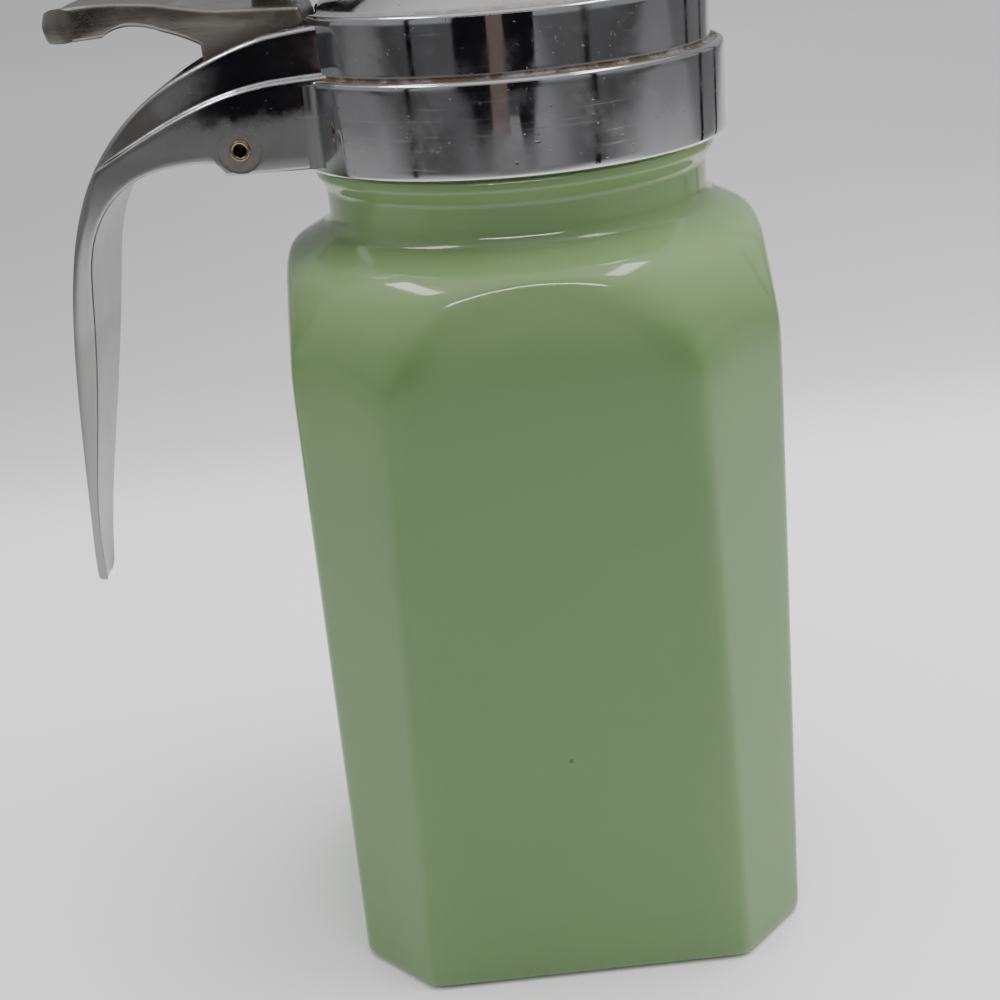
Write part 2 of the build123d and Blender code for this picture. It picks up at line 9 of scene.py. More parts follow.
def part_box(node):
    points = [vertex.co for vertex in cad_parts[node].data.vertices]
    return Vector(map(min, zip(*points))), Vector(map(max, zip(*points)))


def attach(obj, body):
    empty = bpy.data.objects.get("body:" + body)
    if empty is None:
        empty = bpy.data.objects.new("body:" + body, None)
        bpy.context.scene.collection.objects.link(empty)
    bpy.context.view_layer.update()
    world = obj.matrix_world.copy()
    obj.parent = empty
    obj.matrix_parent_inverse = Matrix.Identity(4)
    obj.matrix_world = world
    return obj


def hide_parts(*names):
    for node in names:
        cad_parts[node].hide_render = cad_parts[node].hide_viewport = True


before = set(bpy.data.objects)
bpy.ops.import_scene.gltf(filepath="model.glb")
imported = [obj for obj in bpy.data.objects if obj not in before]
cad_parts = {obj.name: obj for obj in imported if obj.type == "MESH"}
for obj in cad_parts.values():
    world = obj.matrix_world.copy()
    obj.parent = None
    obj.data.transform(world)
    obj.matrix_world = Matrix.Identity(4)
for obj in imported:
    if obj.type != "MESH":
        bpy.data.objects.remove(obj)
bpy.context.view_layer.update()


# ---- Camera ---------------------------------------------------------------------------
# A hand-held camera a little above the top and in front of it, tipped down
# and rolled by a few degrees, so close that the top runs out of the frame.
EYE = Vector((-0.0096, -0.2192, 0.1579))
YAW, TIP, ROLL = math.radians(1.5), math.radians(23.81), math.radians(-5.12)

ahead = Vector((math.sin(YAW) * math.cos(TIP), math.cos(YAW) * math.cos(TIP), -math.sin(TIP)))
level_right = Vector((math.cos(YAW), -math.sin(YAW), 0.0))
level_up = level_right.cross(ahead)
right = level_right * math.cos(ROLL) + level_up * math.sin(ROLL)
up = level_up * math.cos(ROLL) - level_right * math.sin(ROLL)

camera = bpy.data.objects.new("camera", bpy.data.cameras.new("camera"))
camera.data.sensor_width = 36.0
camera.data.lens = 54.0
camera.data.shift_x, camera.data.shift_y = -0.021, 0.028
camera.data.clip_start = 0.01
camera.matrix_world = Matrix.Translation(EYE) @ Matrix((right, up, -ahead)).transposed().to_4x4()
bpy.context.scene.collection.objects.link(camera)
bpy.context.scene.camera = camera


# ---- Table, light and what the plating mirrors ----------------------------------------
# A sheet of white paper, its painted shade pale around the object and greyer behind it, under a soft
# ceiling lamp and the plain light of a pale room.
PAPER_R, PAPER_SIDES = 3.0, 96
PAPER_NEAR, PAPER_FAR = -1.2, 1.4     # ends of the run over which the paper's shade is drawn
PAPER_PAINTED_SHADES = [                      # way from the viewer, painted shade
    (-1.1, 0.32), (-0.78, 0.30), (-0.62, 0.17), (-0.48, 0.20), (-0.29, 0.92), (0.168, 0.94),
    (0.23, 0.66), (0.294, 0.56), (0.42, 0.54), (0.6, 0.56), (0.9, 0.70), (1.2, 0.82),
]
VIEWER_Y = -0.60                      # dark upright shapes stand this far in front
FOLD_REACH, FOLD_H = 0.5, 0.5         # thin dark uprights around the object
SHEET_Z, STRIP_Y = 0.62, -0.55        # bright sheets overhead, bright strip in front
DARK, DARKEST, BRIGHT = (0.010, 0.010, 0.012), (0.006, 0.006, 0.007), (1.0, 1.0, 0.97)


def fill(socket, value):
    """Gives an input a number, a colour or a link."""
    if isinstance(value, bpy.types.NodeSocket):
        socket.id_data.links.new(value, socket)
    else:
        socket.default_value = (*value, 1.0) if isinstance(value, tuple) and socket.type == "RGBA" else value


def node(tree, kind, **settings):
    """Adds a shader node; settings with a capital fill its inputs, the others are fields of its own."""
    made = tree.nodes.new("ShaderNode" + kind)
    for key, value in settings.items():
        if key[0].isupper():
            fill(made.inputs[key.replace("_", " ")], value)
        else:
            setattr(made, key, value)
    return made


def ramp(source, stops):
    """Colour ramp over a value; stops are (place, colour or grey)."""
    made = node(source.id_data, "ValToRGB", Fac=source)
    while len(made.color_ramp.elements) < len(stops):
        made.color_ramp.elements.new(0.5)
    for element, (place, colour) in zip(made.color_ramp.elements, stops):
        element.position = place
        element.color = (*colour, 1.0) if isinstance(colour, tuple) else (colour, colour, colour, 1.0)
    return made.outputs["Color"]


def calc(operation, *values, clamp=False):
    """Math over sockets and numbers; more than two are taken one after the other."""
    tree = next(value.id_data for value in values if isinstance(value, bpy.types.NodeSocket))
    result, *others = values
    for other in others or (None,):
        made = node(tree, "Math", operation=operation, use_clamp=clamp)
        fill(made.inputs[0], result)
        if others:
            fill(made.inputs[1], other)
        result = made.outputs[0]
    return result


def times(*values, **settings):
    """Product of sockets and numbers."""
    return calc("MULTIPLY", *values, **settings)


def plus(*values, **settings):
    """Sum of sockets and numbers."""
    return calc("ADD", *values, **settings)


def less(first, second):
    """The first less the second."""
    return calc("SUBTRACT", first, second)


def largest(*values):
    """Largest of sockets and numbers."""
    return calc("MAXIMUM", *values)


def fade(value, start, end, most=1.0, least=0.0, way="SMOOTHSTEP"):
    """Goes from least to most while the value goes from start to end."""
    return node(
        value.id_data, "MapRange", interpolation_type=way, Value=value, From_Min=start, From_Max=end,
        To_Min=least, To_Max=most,
    ).outputs[0]


def blend_colour(share, first, second, way="MIX"):
    """Mixes two colours by a mask."""
    tree = next(value.id_data for value in (share, first) if isinstance(value, bpy.types.NodeSocket))
    made = node(tree, "Mix", data_type="RGBA", blend_type=way)
    for index, value in ((0, share), (6, first), (7, second)):
        fill(made.inputs[index], value)
    return made.outputs[2]


def new_finish(name, **settings):
    """Material with one Principled shader; settings are its plain inputs."""
    material = bpy.data.materials.new(name)
    material.use_nodes = True
    shader = material.node_tree.nodes["Principled BSDF"]
    for key, value in settings.items():
        fill(shader.inputs[key.replace("_", " ")], value)
    return material, material.node_tree, shader


def object_place(tree):
    """Object coordinates, in metres, as one vector and as x, y, z sockets."""
    place = node(tree, "TexCoord").outputs["Object"]
    return place, *node(tree, "SeparateXYZ", Vector=place).outputs


def paper_painted_light():
    """White paper with painted light and shade that follows the way from the viewer: dark before the object, pale
    around it, grey behind it and paler again far off; it darkens far out at both sides and is a little lighter on
    the right."""
    material, tree, shader = new_finish("paper", Roughness=0.75)
    _, x, y, _ = object_place(tree)
    # Painted light and shade: the ramp along the way, the darkening far out at both sides and the lighter right
    # side.
    run = PAPER_FAR - PAPER_NEAR
    stops = [((at - PAPER_NEAR) / run, (shade, shade, shade * 1.005)) for at, shade in PAPER_PAINTED_SHADES]
    shade = ramp(calc("DIVIDE", less(y, PAPER_NEAR), run), stops)
    spread = times(largest(y, 0.0), 0.32)
    sides = fade(less(calc("ABSOLUTE", x), spread), 0.2, 0.5, 0.3, 1.0)
    level = times(sides, fade(x, -0.2, 0.2, 1.1, 0.92, "LINEAR"))
    grey = node(tree, "CombineColor", Red=level, Green=level, Blue=level).outputs[0]
    tree.links.new(blend_colour(1.0, shade, grey, "MULTIPLY"), shader.inputs["Base Color"])
    return material


def sheet(name, corners, material):
    """One flat face."""
    mesh = bpy.data.meshes.new(name)
    mesh.from_pydata(corners, [], [tuple(range(len(corners)))])
    mesh.materials.append(material)
    made = bpy.data.objects.new(name, mesh)
    bpy.context.scene.collection.objects.link(made)
    return made


def flat_card(name, corners, colour, glow=0.0):
    """Flat sheet that only mirrors show."""
    material = new_finish(
        name, Base_Color=colour, Roughness=1.0, Specular_IOR_Level=0.0, Emission_Color=colour,
        Emission_Strength=glow,
    )[0]
    card = sheet(name, corners, material)
    card.visible_camera = card.visible_diffuse = card.visible_shadow = card.visible_transmission = False
    return card


def around(count):
    """Equal headings round a full turn, each one once."""
    return np.linspace(0.0, 2.0 * np.pi, count + 1)[:-1]


def rectangle(x, y, half_x, half_y):
    """Corners of a rectangle in plan, in turn."""
    return [(x - half_x, y - half_y), (x + half_x, y - half_y), (x + half_x, y + half_y), (x - half_x, y + half_y)]


turns = around(PAPER_SIDES)
rim_points = PAPER_R * np.c_[np.cos(turns), np.sin(turns), np.zeros(PAPER_SIDES)]
paper = sheet("paper", rim_points.tolist(), paper_painted_light())

left_shape = [(-0.345, 0.050), (-0.20, 0.022), (-0.125, 0.032), (-0.125, 0.52), (-0.32, 0.52)]
right_shape = [
    (-0.035, 0.045), (0.012, 0.045), (0.03, 0.03), (0.085, 0.03), (0.10, 0.045), (0.135, 0.07), (0.14, 0.52),
    (-0.035, 0.52),
]
middle_shape = [(-0.125, 0.038), (-0.035, 0.038), (-0.035, 0.52), (-0.125, 0.52)]
# The middle viewer card glows a little: painted light on the viewer, who is seen only in the plating.
for name, shape, colour, glow in (
    ("viewer_left", left_shape, DARK, 0.0), ("viewer_right", right_shape, DARK, 0.0),
    ("viewer_middle", middle_shape, (0.14, 0.105, 0.09), 0.4),
):
    flat_card(name, [(x, VIEWER_Y, z) for x, z in shape], colour, glow)
for name, heading, half_w in (
    ("fold_left", -54.0, 0.013), ("fold_right", 40.0, 0.014), ("fold_far", 113.0, 0.013),
    ("fold_side", 132.0, 0.012),
):
    side = math.radians(heading)
    at = Vector((math.sin(side), -math.cos(side), 0.0)) * FOLD_REACH
    out = Vector((math.cos(side), math.sin(side), 0.0)) * half_w
    lift = Vector((0.0, 0.0, FOLD_H))
    flat_card(name, [at - out, at + out, at + out + lift, at - out + lift], DARKEST)
for name, plan, glow in (
    ("window_left", rectangle(-0.33, -0.05, 0.05, 0.17), 14.0),
    ("window_right", rectangle(0.27, -0.07, 0.045, 0.16), 12.0),
):
    flat_card(name, [(x, y, SHEET_Z) for x, y in plan], BRIGHT, glow)
strip = flat_card("lamp_edge", [(x, STRIP_Y, z) for x, z in rectangle(-0.03, 0.3325, 0.24, 0.0175)], BRIGHT, 40.0)
strip_receivers = bpy.data.collections.new("strip_receivers")      # the strip shines on the glass alone
strip.light_linking.receiver_collection = strip_receivers

for name, place, target, size, watts in (
    ("ceiling", (0.12, 0.05, 0.85), (0.0, 0.0, 0.05), (0.7, 0.6), 8.0),
    ("left_wall", (-0.75, -0.1, 0.35), (0.0, 0.0, 0.08), (0.5, 0.5), 1.5),
    ("right_wall", (0.75, -0.1, 0.35), (0.0, 0.0, 0.08), (0.5, 0.5), 1.75),
):
    light = bpy.data.lights.new(name, "AREA")
    light.shape = "RECTANGLE"
    light.size, light.size_y = size
    light.energy = watts
    holder = bpy.data.objects.new(name, light)
    holder.location = place
    holder.rotation_euler = (Vector(target) - Vector(place)).to_track_quat("-Z", "Y").to_euler()
    holder.visible_glossy = False
    bpy.context.scene.collection.objects.link(holder)


def room_light():
    """Plain pale room, brighter overhead: the colour follows the height of the direction."""
    room = bpy.data.worlds.new("room")
    room.use_nodes = True
    tree = room.node_tree
    heading = node(tree, "SeparateXYZ", Vector=node(tree, "TexCoord").outputs["Generated"]).outputs
    stops = [(0.0, (0.37, 0.375, 0.385)), (0.55, (0.39, 0.395, 0.405)), (0.9, (0.95, 0.95, 0.95))]
    tree.links.new(ramp(heading[2], stops), tree.nodes["Background"].inputs["Color"])
    return room


bpy.context.scene.world = room_light()


# ---- Glass jar ------------------------------------------------------------------------
# Pressed jade glass: a square body with cut corners that leans in a little, a turned
# shoulder, a short neck with a bead, and a screw finish that the top hides.
MM = 0.001
QUARTER = np.pi / 2.0
BASE_HALF, _, RIM_Z = np.array(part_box("glass_jar")[1]) / MM
TOP_HALF = BASE_HALF - 0.8
SHOULDER_Z = RIM_Z - 41.6
BASE_LEG, TOP_LEG = 10.5, 13.3
GLASS_WALL, GLASS_FLOOR, BOWL_R = 3.4, 7.0, 5.0
FOOT_ROUND = 1.7
PUSH_UP, PUSH_UP_R = 1.2, 28.0
FINISH_R, BORE_R, BEAD_R, NECK_R = 26.0, 22.6, 28.5, 27.3
THREAD_PITCH, THREAD_H = 5.08, 1.05
CRISPNESS = 110.0         # power of the norm that rounds the upright edges
SHARP = 32.0              # edges past this angle are drawn sharp
FAR_OUT = 90.0            # turned radius of the rows that the flat sides alone shape


def unit(angle):
    """Points on the unit circle."""
    return np.c_[np.cos(angle), np.sin(angle)]


def wrapped(angle):
    """Angle brought to between minus and plus half a turn."""
    return (angle + math.pi) % (2.0 * math.pi) - math.pi


def softened_path(corners, radii, steps=7):
    """Outline through corners, each one rounded by an arc that touches both sides at radius / tan(half the
    inner angle)."""
    corners = np.asarray(corners, float)
    pieces = [corners[:1]]
    for here, before, after, radius in zip(corners[1:-1], corners[:-2], corners[2:], radii[1:-1]):
        back, on = before - here, after - here
        back_l, on_l = np.hypot(*back), np.hypot(*on)
        back, on = back / back_l, on / on_l
        half = 0.5 * math.acos(np.clip(back @ on, -1.0, 1.0))
        if radius <= 0.0 or half > 1.55:
            pieces.append(here[None])
            continue
        reach = min(radius / math.tan(half), 0.49 * back_l, 0.49 * on_l)
        radius = reach * math.tan(half)
        centre = here + (back + on) / np.linalg.norm(back + on) * radius / math.sin(half)
        first, last = here + back * reach - centre, here + on * reach - centre
        start = math.atan2(first[1], first[0])
        sweep = wrapped(math.atan2(last[1], last[0]) - start)
        pieces.append(centre + radius * unit(start + sweep * np.linspace(0.0, 1.0, steps)))
    return np.concatenate(pieces + [corners[-1:]])


def no_longer_than(path, step):
    """The same path with more points on its long runs: every run is cut into equal parts under the step."""
    runs = np.hypot(*np.diff(path, axis=0).T)
    parts = np.maximum(np.ceil(runs / step).astype(int), 1)
    share = np.concatenate([i + np.arange(n) / n for i, n in enumerate(parts)] + [[len(runs)]])
    index = np.arange(len(path))
    return np.c_[np.interp(share, index, path[:, 0]), np.interp(share, index, path[:, 1])]


def grid_faces(rows, columns, rows_close, columns_close):
    """Quads between neighbouring points of a grid, which may run round either way."""
    row = np.arange(rows if rows_close else rows - 1)[:, None]
    column = np.arange(columns if columns_close else columns - 1)
    after, below = (column + 1) % columns, (row + 1) % rows
    corners = [row * columns + column, row * columns + after, below * columns + after, below * columns + column]
    return np.stack(corners, -1).reshape(-1, 4)


def skin(name, rings, lids=False, loop=False, sharp=SHARP):
    """Closed surface over a stack of closed rings given in millimetres; a ring shrunk to a point closes it,
    lids close its first and last ring, and loop joins the last ring to the first."""
    rows, columns = rings.shape[:2]
    faces = grid_faces(rows, columns, loop, True).tolist()
    if lids:
        faces += [list(range(columns)), list(range((rows - 1) * columns, rows * columns))]
    return closed_piece(name, rings.reshape(-1, 3), faces, sharp)


def closed_piece(name, points, faces, sharp=SHARP):
    """Mesh object from points in millimetres: doubles merged, faces turned outwards, edges sharp past an angle."""
    mesh = bpy.data.meshes.new(name)
    mesh.from_pydata((np.asarray(points) * MM).tolist(), [], faces)
    work = bmesh.new()
    work.from_mesh(mesh)
    bmesh.ops.remove_doubles(work, verts=work.verts, dist=1e-6)
    bmesh.ops.dissolve_degenerate(work, edges=work.edges, dist=1e-7)
    bmesh.ops.recalc_face_normals(work, faces=work.faces)
    work.to_mesh(mesh)
    work.free()
    mesh.shade_smooth()
    mesh.set_sharp_from_angle(angle=math.radians(sharp))
    piece = bpy.data.objects.new(name, mesh)
    bpy.context.scene.collection.objects.link(piece)
    return piece


def body_reach(angle, height, inset):
    """Distance from the axis to the eight leaning sides: one over the p-norm of the cosine to each side
    over that side's distance, which rounds the upright edges."""
    share = height / SHOULDER_Z
    flat = BASE_HALF + (TOP_HALF - BASE_HALF) * share
    corner = (2.0 * flat - BASE_LEG - (TOP_LEG - BASE_LEG) * share) / math.sqrt(2.0)
    facing = np.stack([
        np.maximum(np.cos(angle - k * np.pi / 4.0), 0.0) / ((corner if k % 2 else flat) - inset) for k in range(8)
    ])
    most = facing.max(axis=0)
    return 1.0 / (most * ((facing / most) ** CRISPNESS).sum(axis=0) ** (1.0 / CRISPNESS))


def nearer(first, second, softness):
    """Soft minimum: the smaller one less softness * log(1 + exp(-difference / softness))."""
    return np.minimum(first, second) - softness * np.log1p(np.exp(-np.abs(first - second) / softness))


def screw_ridge(angle, height, foot, turns_run, width, tall):
    """Helical ridge: a flat-topped bump exp(-(distance / width)^4) about a line that climbs one pitch a turn,
    faded in and out over a fifth of a turn."""
    ridge = np.zeros(np.broadcast(angle, height).shape)
    for lap in range(math.ceil(turns_run)):
        run = angle / (2.0 * np.pi) % 1.0 + lap
        off = height - foot - THREAD_PITCH * run
        ends = np.clip(run / 0.2, 0.0, 1.0) * np.clip((turns_run - run) / 0.2, 0.0, 1.0)
        ridge = np.maximum(ridge, tall * ends * np.exp(-((off / width) ** 4)))
    return ridge


def jar_rows():
    """Rows from the middle of the base over the outside and back to the middle of the floor:
    turned radius, height, inset of the flat sides, and share of the way from the axis to them."""
    turn = np.linspace(0.0, QUARTER, 8)
    lip = PUSH_UP_R + 2.0
    corners = [(0, PUSH_UP), (PUSH_UP_R, PUSH_UP), (PUSH_UP_R + 0.3, 0), (lip, 0)]
    hollow = softened_path(corners, [0, 0.5, 0.5, 0], 5)
    base = [(r, z, FOOT_ROUND, 0.0) for r, z in no_longer_than(hollow, 4.0)]
    base += [(lip, 0.0, FOOT_ROUND, share) for share in (0.3, 0.6, 0.85)]
    foot = [(FAR_OUT, FOOT_ROUND * (1 - math.cos(t)), FOOT_ROUND * (1 - math.sin(t)), 1.0) for t in turn]
    outside = softened_path(
        [
            (FAR_OUT, SHOULDER_Z - 11), (TOP_HALF + 11.4, SHOULDER_Z - 10), (TOP_HALF + 6.7, SHOULDER_Z + 1.4),
            (34.8, SHOULDER_Z + 14.6), (NECK_R, RIM_Z - 23.3), (NECK_R, RIM_Z - 18.2), (BEAD_R, RIM_Z - 16.4),
            (BEAD_R, RIM_Z - 15), (FINISH_R, RIM_Z - 15), (FINISH_R, RIM_Z), (BORE_R, RIM_Z),
            (BORE_R, RIM_Z - 25.5),
        ],
        [0, 6, 26, 7.5, 2.4, 1.8, 1.0, 0.5, 0.9, 1.4, 1.4, 0],
        9,
    )
    body = [(FAR_OUT, z, 0.0, 1.0) for z in np.linspace(4.0, SHOULDER_Z - 12.0, 24)]
    inside = softened_path(
        [
            (BORE_R, RIM_Z - 25.5), (BORE_R, RIM_Z - 27), (31.2, SHOULDER_Z + 12.9),
            (TOP_HALF + 3.3, SHOULDER_Z + 1.4), (TOP_HALF + 8.0, SHOULDER_Z - 10), (80, SHOULDER_Z - 11),
        ],
        [0, 3, 7, 24, 6, 0],
        8,
    )
    walls = [(FAR_OUT, z, GLASS_WALL, 1.0) for z in np.linspace(SHOULDER_Z - 14.0, GLASS_FLOOR + 7.0, 12)]
    bowl = [
        (FAR_OUT, GLASS_FLOOR + BOWL_R * (1 - math.sin(t)), GLASS_WALL + BOWL_R * (1 - math.cos(t)), 1.0)
        for t in turn
    ]
    floor = [(0.0, GLASS_FLOOR, GLASS_WALL + BOWL_R, share) for share in (0.8, 0.6, 0.4, 0.2, 0.0)]
    rows = base + foot + body + [(r, z, 0.0, 1.0) for r, z in no_longer_than(outside[1:], 0.65)]
    rows += [(r, z, GLASS_WALL, 1.0) for r, z in no_longer_than(inside[1:-1], 1.6)] + walls + bowl + floor
    return np.array(rows)


def jar_columns():
    """Headings round the jar, close together at the eight rounded edges."""
    edge = np.linspace(28.5, 37.5, 17)
    between = np.linspace(37.5, 52.5, 8)[1:-1]
    flat = np.linspace(61.5, 90.0 + 28.5, 38)[1:-1]
    quarter = np.concatenate([edge, between, 90.0 - edge[::-1], flat])
    return np.radians(np.concatenate([quarter + 90.0 * k for k in range(4)]))


def glass_jar():
    """Rings of the jar: the soft minimum of the flat sides and the turned shoulder, crisper over the middle of
    each flat than at the corners, with the screw ridge added."""
    rows = jar_rows()
    turned_r, height, inset, share = (column[:, None] for column in rows.T)
    angle = jar_columns()[None, :]
    sides = body_reach(angle, np.clip(height, 0.0, SHOULDER_Z + 6.0), inset)
    outside = np.arange(len(rows))[:, None] < len(rows) * 0.6
    softness = np.where(outside, 0.5 + 0.42 * np.sin(2.0 * angle) ** 2, 0.5)
    reach = np.where(share >= 1.0, nearer(sides, np.maximum(turned_r, 1e-6), softness), 0.0)
    hollow = (share < 1.0) & (height < 3.0)
    reach = np.where(hollow, turned_r + (sides - turned_r) * share, reach)
    reach = np.where((share < 1.0) & ~hollow, sides * share, reach)
    on_finish = np.exp(-(((turned_r - FINISH_R) / 0.3) ** 4)) * (height > RIM_Z - 14.6) * (height < RIM_Z - 1.2)
    reach = reach + on_finish * screw_ridge(angle, height, RIM_Z - 12.4, 1.6, 0.95, THREAD_H)
    return np.stack([reach * np.cos(angle), reach * np.sin(angle), np.broadcast_to(height, reach.shape)], -1)


def squares(first, second):
    """Sum of two squares."""
    return plus(times(first, first), times(second, second))


def window(value, low, high, soft):
    """Mask that is one between two values of a coordinate and fades over soft on both sides."""
    return times(fade(value, low - soft, low), fade(value, high + soft, high))


def noise(place, scale, detail=2.0, rough=0.5, distortion=0.0):
    """Value of a cloudy noise."""
    return node(
        place.id_data, "TexNoise", Vector=place, Scale=scale, Detail=detail, Roughness=rough, Distortion=distortion
    ).outputs["Fac"]


def stretched(place, scale, rotation):
    """Place turned and stretched, for noise with a grain."""
    return node(place.id_data, "Mapping", Vector=place, Scale=scale, Rotation=rotation).outputs[0]


def feed(shader, height, strength, distance, **sources):
    """Links sources to the shader's inputs, and a bump from the height to its normal."""
    dent = node(shader.id_data, "Bump", Strength=strength, Distance=distance, Height=height)
    for key, source in {**sources, "Normal": dent.outputs[0]}.items():
        fill(shader.inputs[key.replace("_", " ")], source)


def thick_glass_and_side_light(x, y, most):
    """Mask that rises towards the upright edges, where the glass is thick and where it carries painted side light:
    the product of |x| and |y|.
    """
    both = times(calc("ABSOLUTE", x), calc("ABSOLUTE", y))
    return fade(both, 0.00052, 0.00086, most)


def jade_finish():
    """Opaque pressed glass: cloudy green with flow lines, specks and fine rubs; the shoulder is finely rippled.
    Painted light makes it paler at the upright edges, where the glass is also thick, and over the shoulder and its
    corners."""
    material, tree, shader = new_finish(
        "jade_glass", Roughness=0.1, IOR=1.5, Specular_IOR_Level=0.4, Subsurface_Weight=0.25,
        Subsurface_Radius=(0.7, 1.0, 0.6), Subsurface_Scale=0.006,
    )
    place, x, y, z = object_place(tree)
    cloud = noise(place, 16.0, 3.0)
    flow = noise(stretched(place, (16.0, 16.0, 60.0), (0.05, 0.08, 0.0)), 1.0, 5.0, 0.65, 0.6)
    speck = node(tree, "TexVoronoi", Vector=place, Scale=90.0).outputs
    chosen = calc("GREATER_THAN", node(tree, "SeparateColor", Color=speck["Color"]).outputs[0], 0.93)
    dot = times(calc("LESS_THAN", speck["Distance"], 0.045), chosen, 0.7)
    # Painted light in the pale share: paler over the shoulder from above, at the upright edges from the sides
    # (where the glass is also thick), and most at the shoulder's corners.
    height = fade(z, 0.0965, 0.112, 0.55)
    edges = times(thick_glass_and_side_light(x, y, 0.345), window(z, 0.1, 0.2, 0.03))
    share = largest(height, thick_glass_and_side_light(x, y, 0.083), edges)
    corners = fade(squares(x, y), 0.031**2, 0.037**2, 0.8)
    share = plus(share, times(corners, height))
    clouded = times(less(cloud, 0.5), 0.24)
    share = plus(share, clouded, clamp=True)
    colour = blend_colour(share, (0.128, 0.222, 0.086), (0.254, 0.361, 0.1715))
    lines = ramp(flow, [(0.36, (0.985, 0.985, 0.975)), (0.5, 1.0), (0.68, 1.01)])
    colour = blend_colour(1.0, colour, lines, "MULTIPLY")
    colour = blend_colour(dot, colour, (0.05, 0.055, 0.03))
    dull = ramp(noise(place, 70.0, 6.0, 0.7), [(0.3, 0.07), (0.55, 0.10), (0.75, 0.2)])
    ripple = times(noise(place, 420.0, 3.0, 0.6), height, 0.09)
    relief = plus(noise(place, 55.0, 2.0, 0.4), times(flow, 0.12), ripple)
    feed(shader, relief, 0.25, 0.0006, Base_Color=colour, Roughness=dull)
    return material


jar = skin("jar", glass_jar(), sharp=50.0)
jar.data.materials.append(jade_finish())
strip_receivers.objects.link(jar)
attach(jar, "jar")
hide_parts("glass_jar")


# ---- Seal -----------------------------------------------------------------------------
# A flat ring of pale rubber that lies on the rim of the glass inside the top.
def seal_finish():
    """Aged rubber: mottled cream with darker grains."""
    material, tree, shader = new_finish("seal_rubber", Roughness=0.7)
    grain = noise(object_place(tree)[0], 500.0, 4.0)
    colour = ramp(grain, [(0.3, (0.30, 0.27, 0.21)), (0.6, (0.47, 0.44, 0.37)), (0.8, (0.52, 0.5, 0.44))])
    feed(shader, grain, 0.3, 0.0001, Base_Color=colour)
    return material


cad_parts["jar_seal"].data.materials[0] = seal_finish()


# ---- Cast top: bands and dome ---------------------------------------------------------
# The screw top is one plated casting: two polished bands, the lower one a little larger,
# a low dome, and inside it a threaded bore with a seat for the seal and a room above.
TIP_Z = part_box("top_casting")[0][2] / MM
SEAT_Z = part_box("jar_seal")[1][2] / MM
SKIRT_Z = RIM_Z - 14.6
BAND_R, BAND_Z = 30.3, RIM_Z - 2.5
UPPER_R, UPPER_Z = 28.4, RIM_Z + 5.4
DOME_FOOT_R, DOME_Z = 27.2, RIM_Z + 13.6
DOME_RISE = DOME_Z - UPPER_Z
DOME_BALL = (DOME_FOOT_R**2 + DOME_RISE**2) / (2.0 * DOME_RISE)     # radius of the ball it is a cap of
BORE_TOP_R, CHAMBER_R = 27.9, 23.4
TRACK_Z = DOME_Z + 0.6
TOP_COLUMNS = 288


def turned_rings(path, columns, centre=(0.0, 0.0)):
    """Rings of a turned shape about a vertical axis from its (radius, height) outline."""
    angle = around(columns)
    radius, height = path[:, :1], path[:, 1:]
    x, y = centre[0] + radius * np.cos(angle), centre[1] + radius * np.sin(angle)
    return np.stack([x, y, np.broadcast_to(height, x.shape)], -1)


def dome_line():
    """Arc of the ball whose cap is as high as the dome, from its crown to its foot."""
    tilt = np.linspace(0.0, math.asin(DOME_FOOT_R / DOME_BALL), 26)
    return np.c_[DOME_BALL * np.sin(tilt), DOME_Z - DOME_BALL * (1.0 - np.cos(tilt))]


def top_rings():
    """Outline of the top from the crown down the outside and up inside, turned, with the ridge for the glass
    thread."""
    outside = softened_path(
        [
            (DOME_FOOT_R - 0.6, UPPER_Z + 0.32), (DOME_FOOT_R, UPPER_Z), (UPPER_R, UPPER_Z), (UPPER_R, BAND_Z),
            (BAND_R, BAND_Z), (BAND_R, SKIRT_Z), (BORE_TOP_R, SKIRT_Z), (BORE_TOP_R, SEAT_Z), (CHAMBER_R, SEAT_Z),
            (CHAMBER_R, UPPER_Z - 1.0), (6.0, DOME_Z - 2.0), (0.0, DOME_Z - 2.0),
        ],
        [0, 0.35, 0.7, 0.35, 0.6, 0.5, 0.5, 0.3, 0.5, 1.0, 2.0, 0],
        8,
    )
    path = np.concatenate([dome_line()[:-1], no_longer_than(outside, 0.75)[1:]])
    rings = turned_rings(path, TOP_COLUMNS)
    radius, height = path[:, :1], path[:, 1:]
    on_bore = (np.abs(radius - BORE_TOP_R) < 0.02) * (height > SKIRT_Z + 1.0) * (height < SEAT_Z - 1.0)
    angle = around(TOP_COLUMNS)
    ridge = on_bore * screw_ridge(angle, height, SKIRT_Z + 1.7, 1.9, 0.8, 0.7)
    rings[..., 0] -= ridge * np.cos(angle)
    rings[..., 1] -= ridge * np.sin(angle)
    return rings


def cut_away(piece, *cutters):
    """Takes closed helper shapes out of a closed piece and deletes the helpers."""
    for cutter in cutters:
        cut = piece.modifiers.new("cut", "BOOLEAN")
        cut.operation, cut.solver, cut.object = "DIFFERENCE", "EXACT", cutter
        bpy.context.view_layer.update()
        shaped = bpy.data.meshes.new_from_object(piece.evaluated_get(bpy.context.evaluated_depsgraph_get()))
        piece.modifiers.clear()
        piece.data = shaped
        bpy.data.objects.remove(cutter)
    piece.data.shade_smooth()
    piece.data.set_sharp_from_angle(angle=math.radians(SHARP))


SPOUT_TILT = math.radians(42.0)
SPOUT_LIP_X = UPPER_R - 4.1
SPOUT_R, SPOUT_SPREAD = 7.2, 0.06
LIP_STRETCH = 1.0 / math.cos(SPOUT_TILT)
MOUTH_R = 4.2
MOUTH_X = SPOUT_LIP_X + (SPOUT_R - 1.9 - MOUTH_R) * LIP_STRETCH


